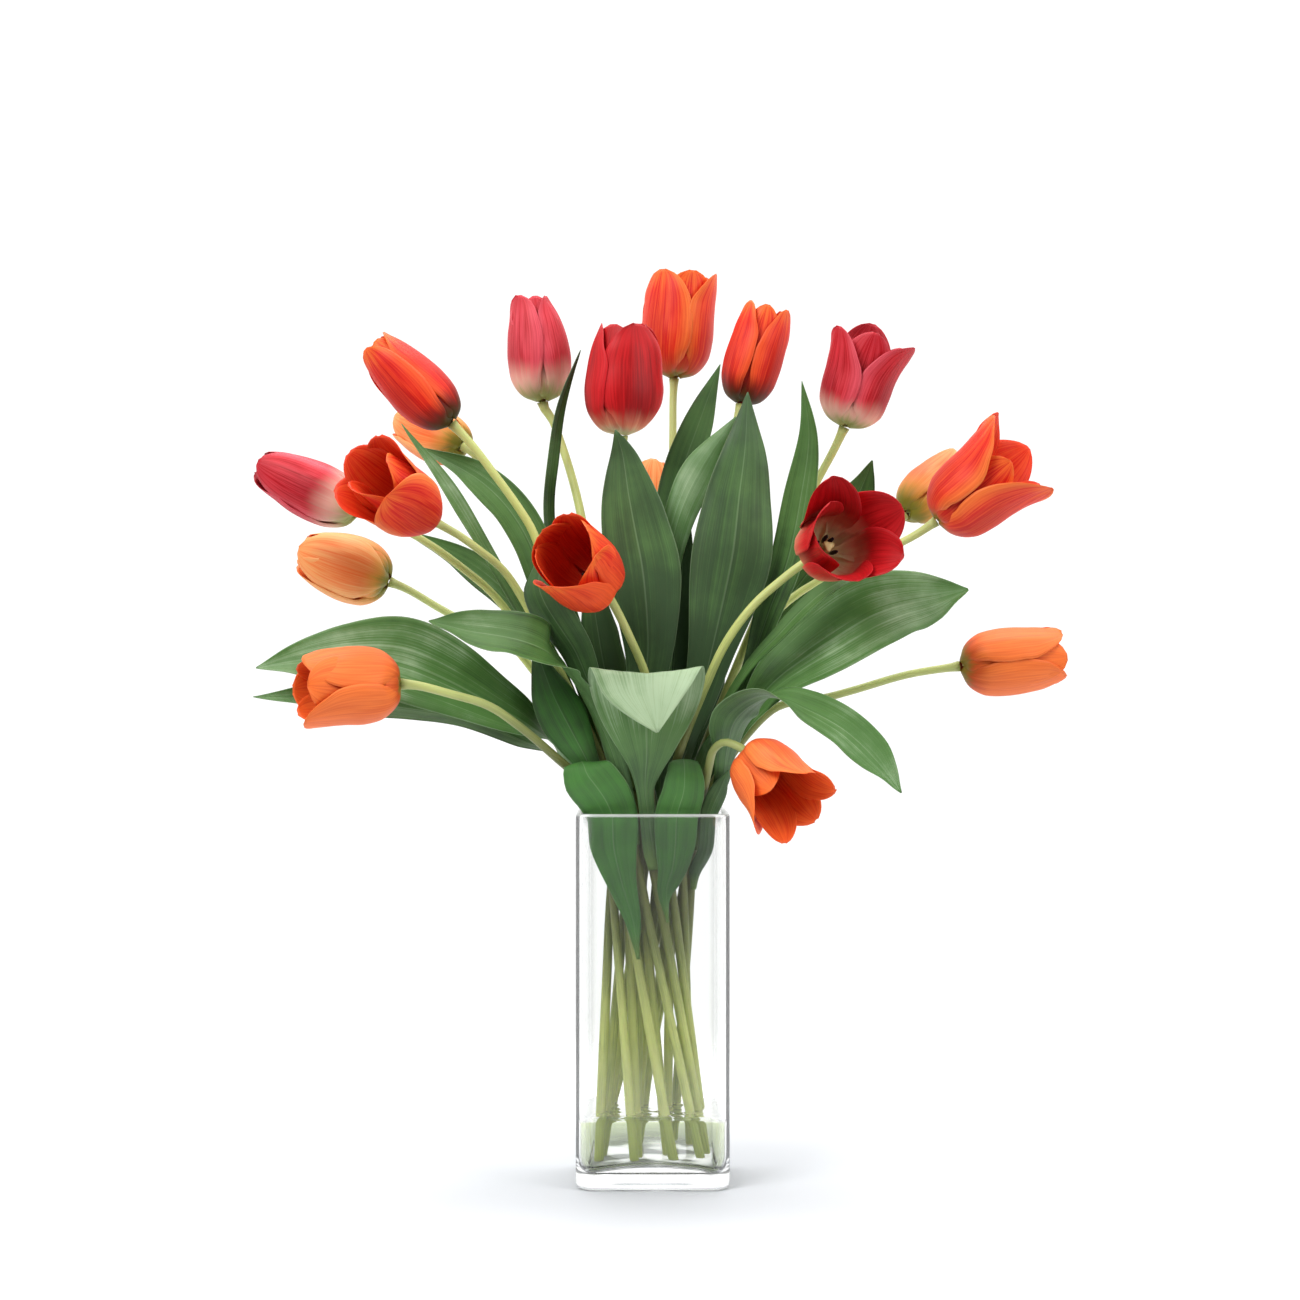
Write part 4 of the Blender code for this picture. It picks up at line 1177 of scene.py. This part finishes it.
def floor_finish(settings):
    """Pale, darker round the vase as painted shadow, glowing in patches under the vase as painted
    light, and fading to nothing towards its far edge.
    """
    finish = Finish("pale_floor")
    place = finish.place()
    grain = finish.grain(place, 14.0)
    away = finish.node("VectorMath", {"operation": "LENGTH"}, {0: place}, output="Value")
    shade = finish.over(settings.floor, (finish.fade(away, 0.08, 0.5), (0.88, 0.882, 0.885)),
                        (0.12 * grain, (0.74, 0.75, 0.77)))
    patches = finish.fade(finish.grain(place, 38.0, detail=1.0), 0.42, 0.6)
    # Painted light: the floor under the vase glows, in patches and faintly all over it.
    glow = finish.over((0.1, 0.1, 0.1),
                       (patches * (1 - finish.fade(away, 0.034, 0.055)), (1.0, 1.0, 1.0)),
                       (finish.fade(away, 0.045, 0.055), (0.0, 0.0, 0.0)))
    return finish.done(finish.principled({
        "Base Color": shade, "Roughness": 0.6 + 0.1 * grain, "Specular IOR Level": 0.2,
        "Emission Color": glow, "Emission Strength": 1.0, "Alpha": 1 - finish.fade(away, 0.3, 0.88)}))


def pale_surround(settings):
    """A white surround, dimmer at the front in the light it gives, so that the glass has depth."""
    world = Finish("pale_surround", "World")
    _, north, up = world.split(world.node("TexCoord", output="Generated"))
    level = world.fade(north, -0.9, 0.4, settings.sky * settings.front, settings.sky)
    level = world.fade(up, 0.3, 0.85, level, settings.zenith)
    through = world.node("LightPath", output="Is Transmission Ray")
    level = world.fade(through, 0.0, 2.0, level, settings.sky)
    level = world.fade(world.node("LightPath", output="Is Camera Ray"), 0.0, 1.0, level, settings.sky)
    light = world.node("Background", None, {"Color": (1.0, 1.0, 1.0, 1.0), "Strength": level})
    return world.done(light)


class TULIPS_OT_stage(bpy.types.Operator):
    """Build the pale floor, the soft lights and the camera"""

    bl_idname = "tulips.stage"
    bl_label = "Stage"

    def execute(self, context):
        scene = context.scene
        settings = scene.tulip_stage
        outline = circle(np.arange(FLOOR_SIDES) / FLOOR_SIDES * 2 * math.pi)
        rings = [risen(outline * reach, -FLOOR_DROP) for reach in FLOOR_RINGS]
        faces = grid_faces(len(rings), FLOOR_SIDES, closed=True, flip=True)
        floor = made_mesh("floor", np.concatenate(rings), [*faces, list(range(FLOOR_SIDES))])
        floor.data.materials.append(floor_finish(settings))

        scene.world = pale_surround(settings)
        for name, place, aim, size, power in LIGHTS:
            soft_light(name, place, aim, size, settings.key * power)

        camera = bpy.data.objects.new("camera", bpy.data.cameras.new("camera"))
        camera.data.lens = CAMERA_LENS
        camera.location = CAMERA_PLACE
        camera.rotation_euler = (math.pi / 2, 0, 0)
        scene.collection.objects.link(camera)
        scene.camera = camera
        scene.view_settings.view_transform = "Standard"
        return {"FINISHED"}


class TULIPS_PT_panel(bpy.types.Panel):
    """Lists the pieces of the arrangement"""

    bl_label = "Tulips in a vase"
    bl_idname = "TULIPS_PT_panel"
    bl_space_type = "VIEW_3D"
    bl_region_type = "UI"
    bl_category = "Tulips"

    def draw(self, context):
        for operator in OPERATORS:
            self.layout.operator(operator.bl_idname)


SETTINGS = {"tulip_vase": VaseSettings, "tulip_stem": StemSettings, "tulip_blade": BladeSettings,
            "tulip_petal": PetalSettings, "tulip_heart": HeartSettings, "tulip_stage": StageSettings}
OPERATORS = (TULIPS_OT_stems, TULIPS_OT_water, TULIPS_OT_vase, TULIPS_OT_blades, TULIPS_OT_heads,
             TULIPS_OT_hearts, TULIPS_OT_stage)


def register():
    for kind in (*SETTINGS.values(), *OPERATORS, TULIPS_PT_panel):
        bpy.utils.register_class(kind)
    for name, kind in SETTINGS.items():
        setattr(bpy.types.Scene, name, PointerProperty(type=kind))


def unregister():
    for name in SETTINGS:
        delattr(bpy.types.Scene, name)
    for kind in (TULIPS_PT_panel, *reversed(OPERATORS), *SETTINGS.values()):
        bpy.utils.unregister_class(kind)


def main():
    register()
    bpy.ops.tulips.stems()
    bpy.ops.tulips.water()
    bpy.ops.tulips.vase()
    bpy.ops.tulips.blades()
    bpy.ops.tulips.heads()
    bpy.ops.tulips.hearts()
    bpy.ops.tulips.stage()


if __name__ == "__main__":
    main()
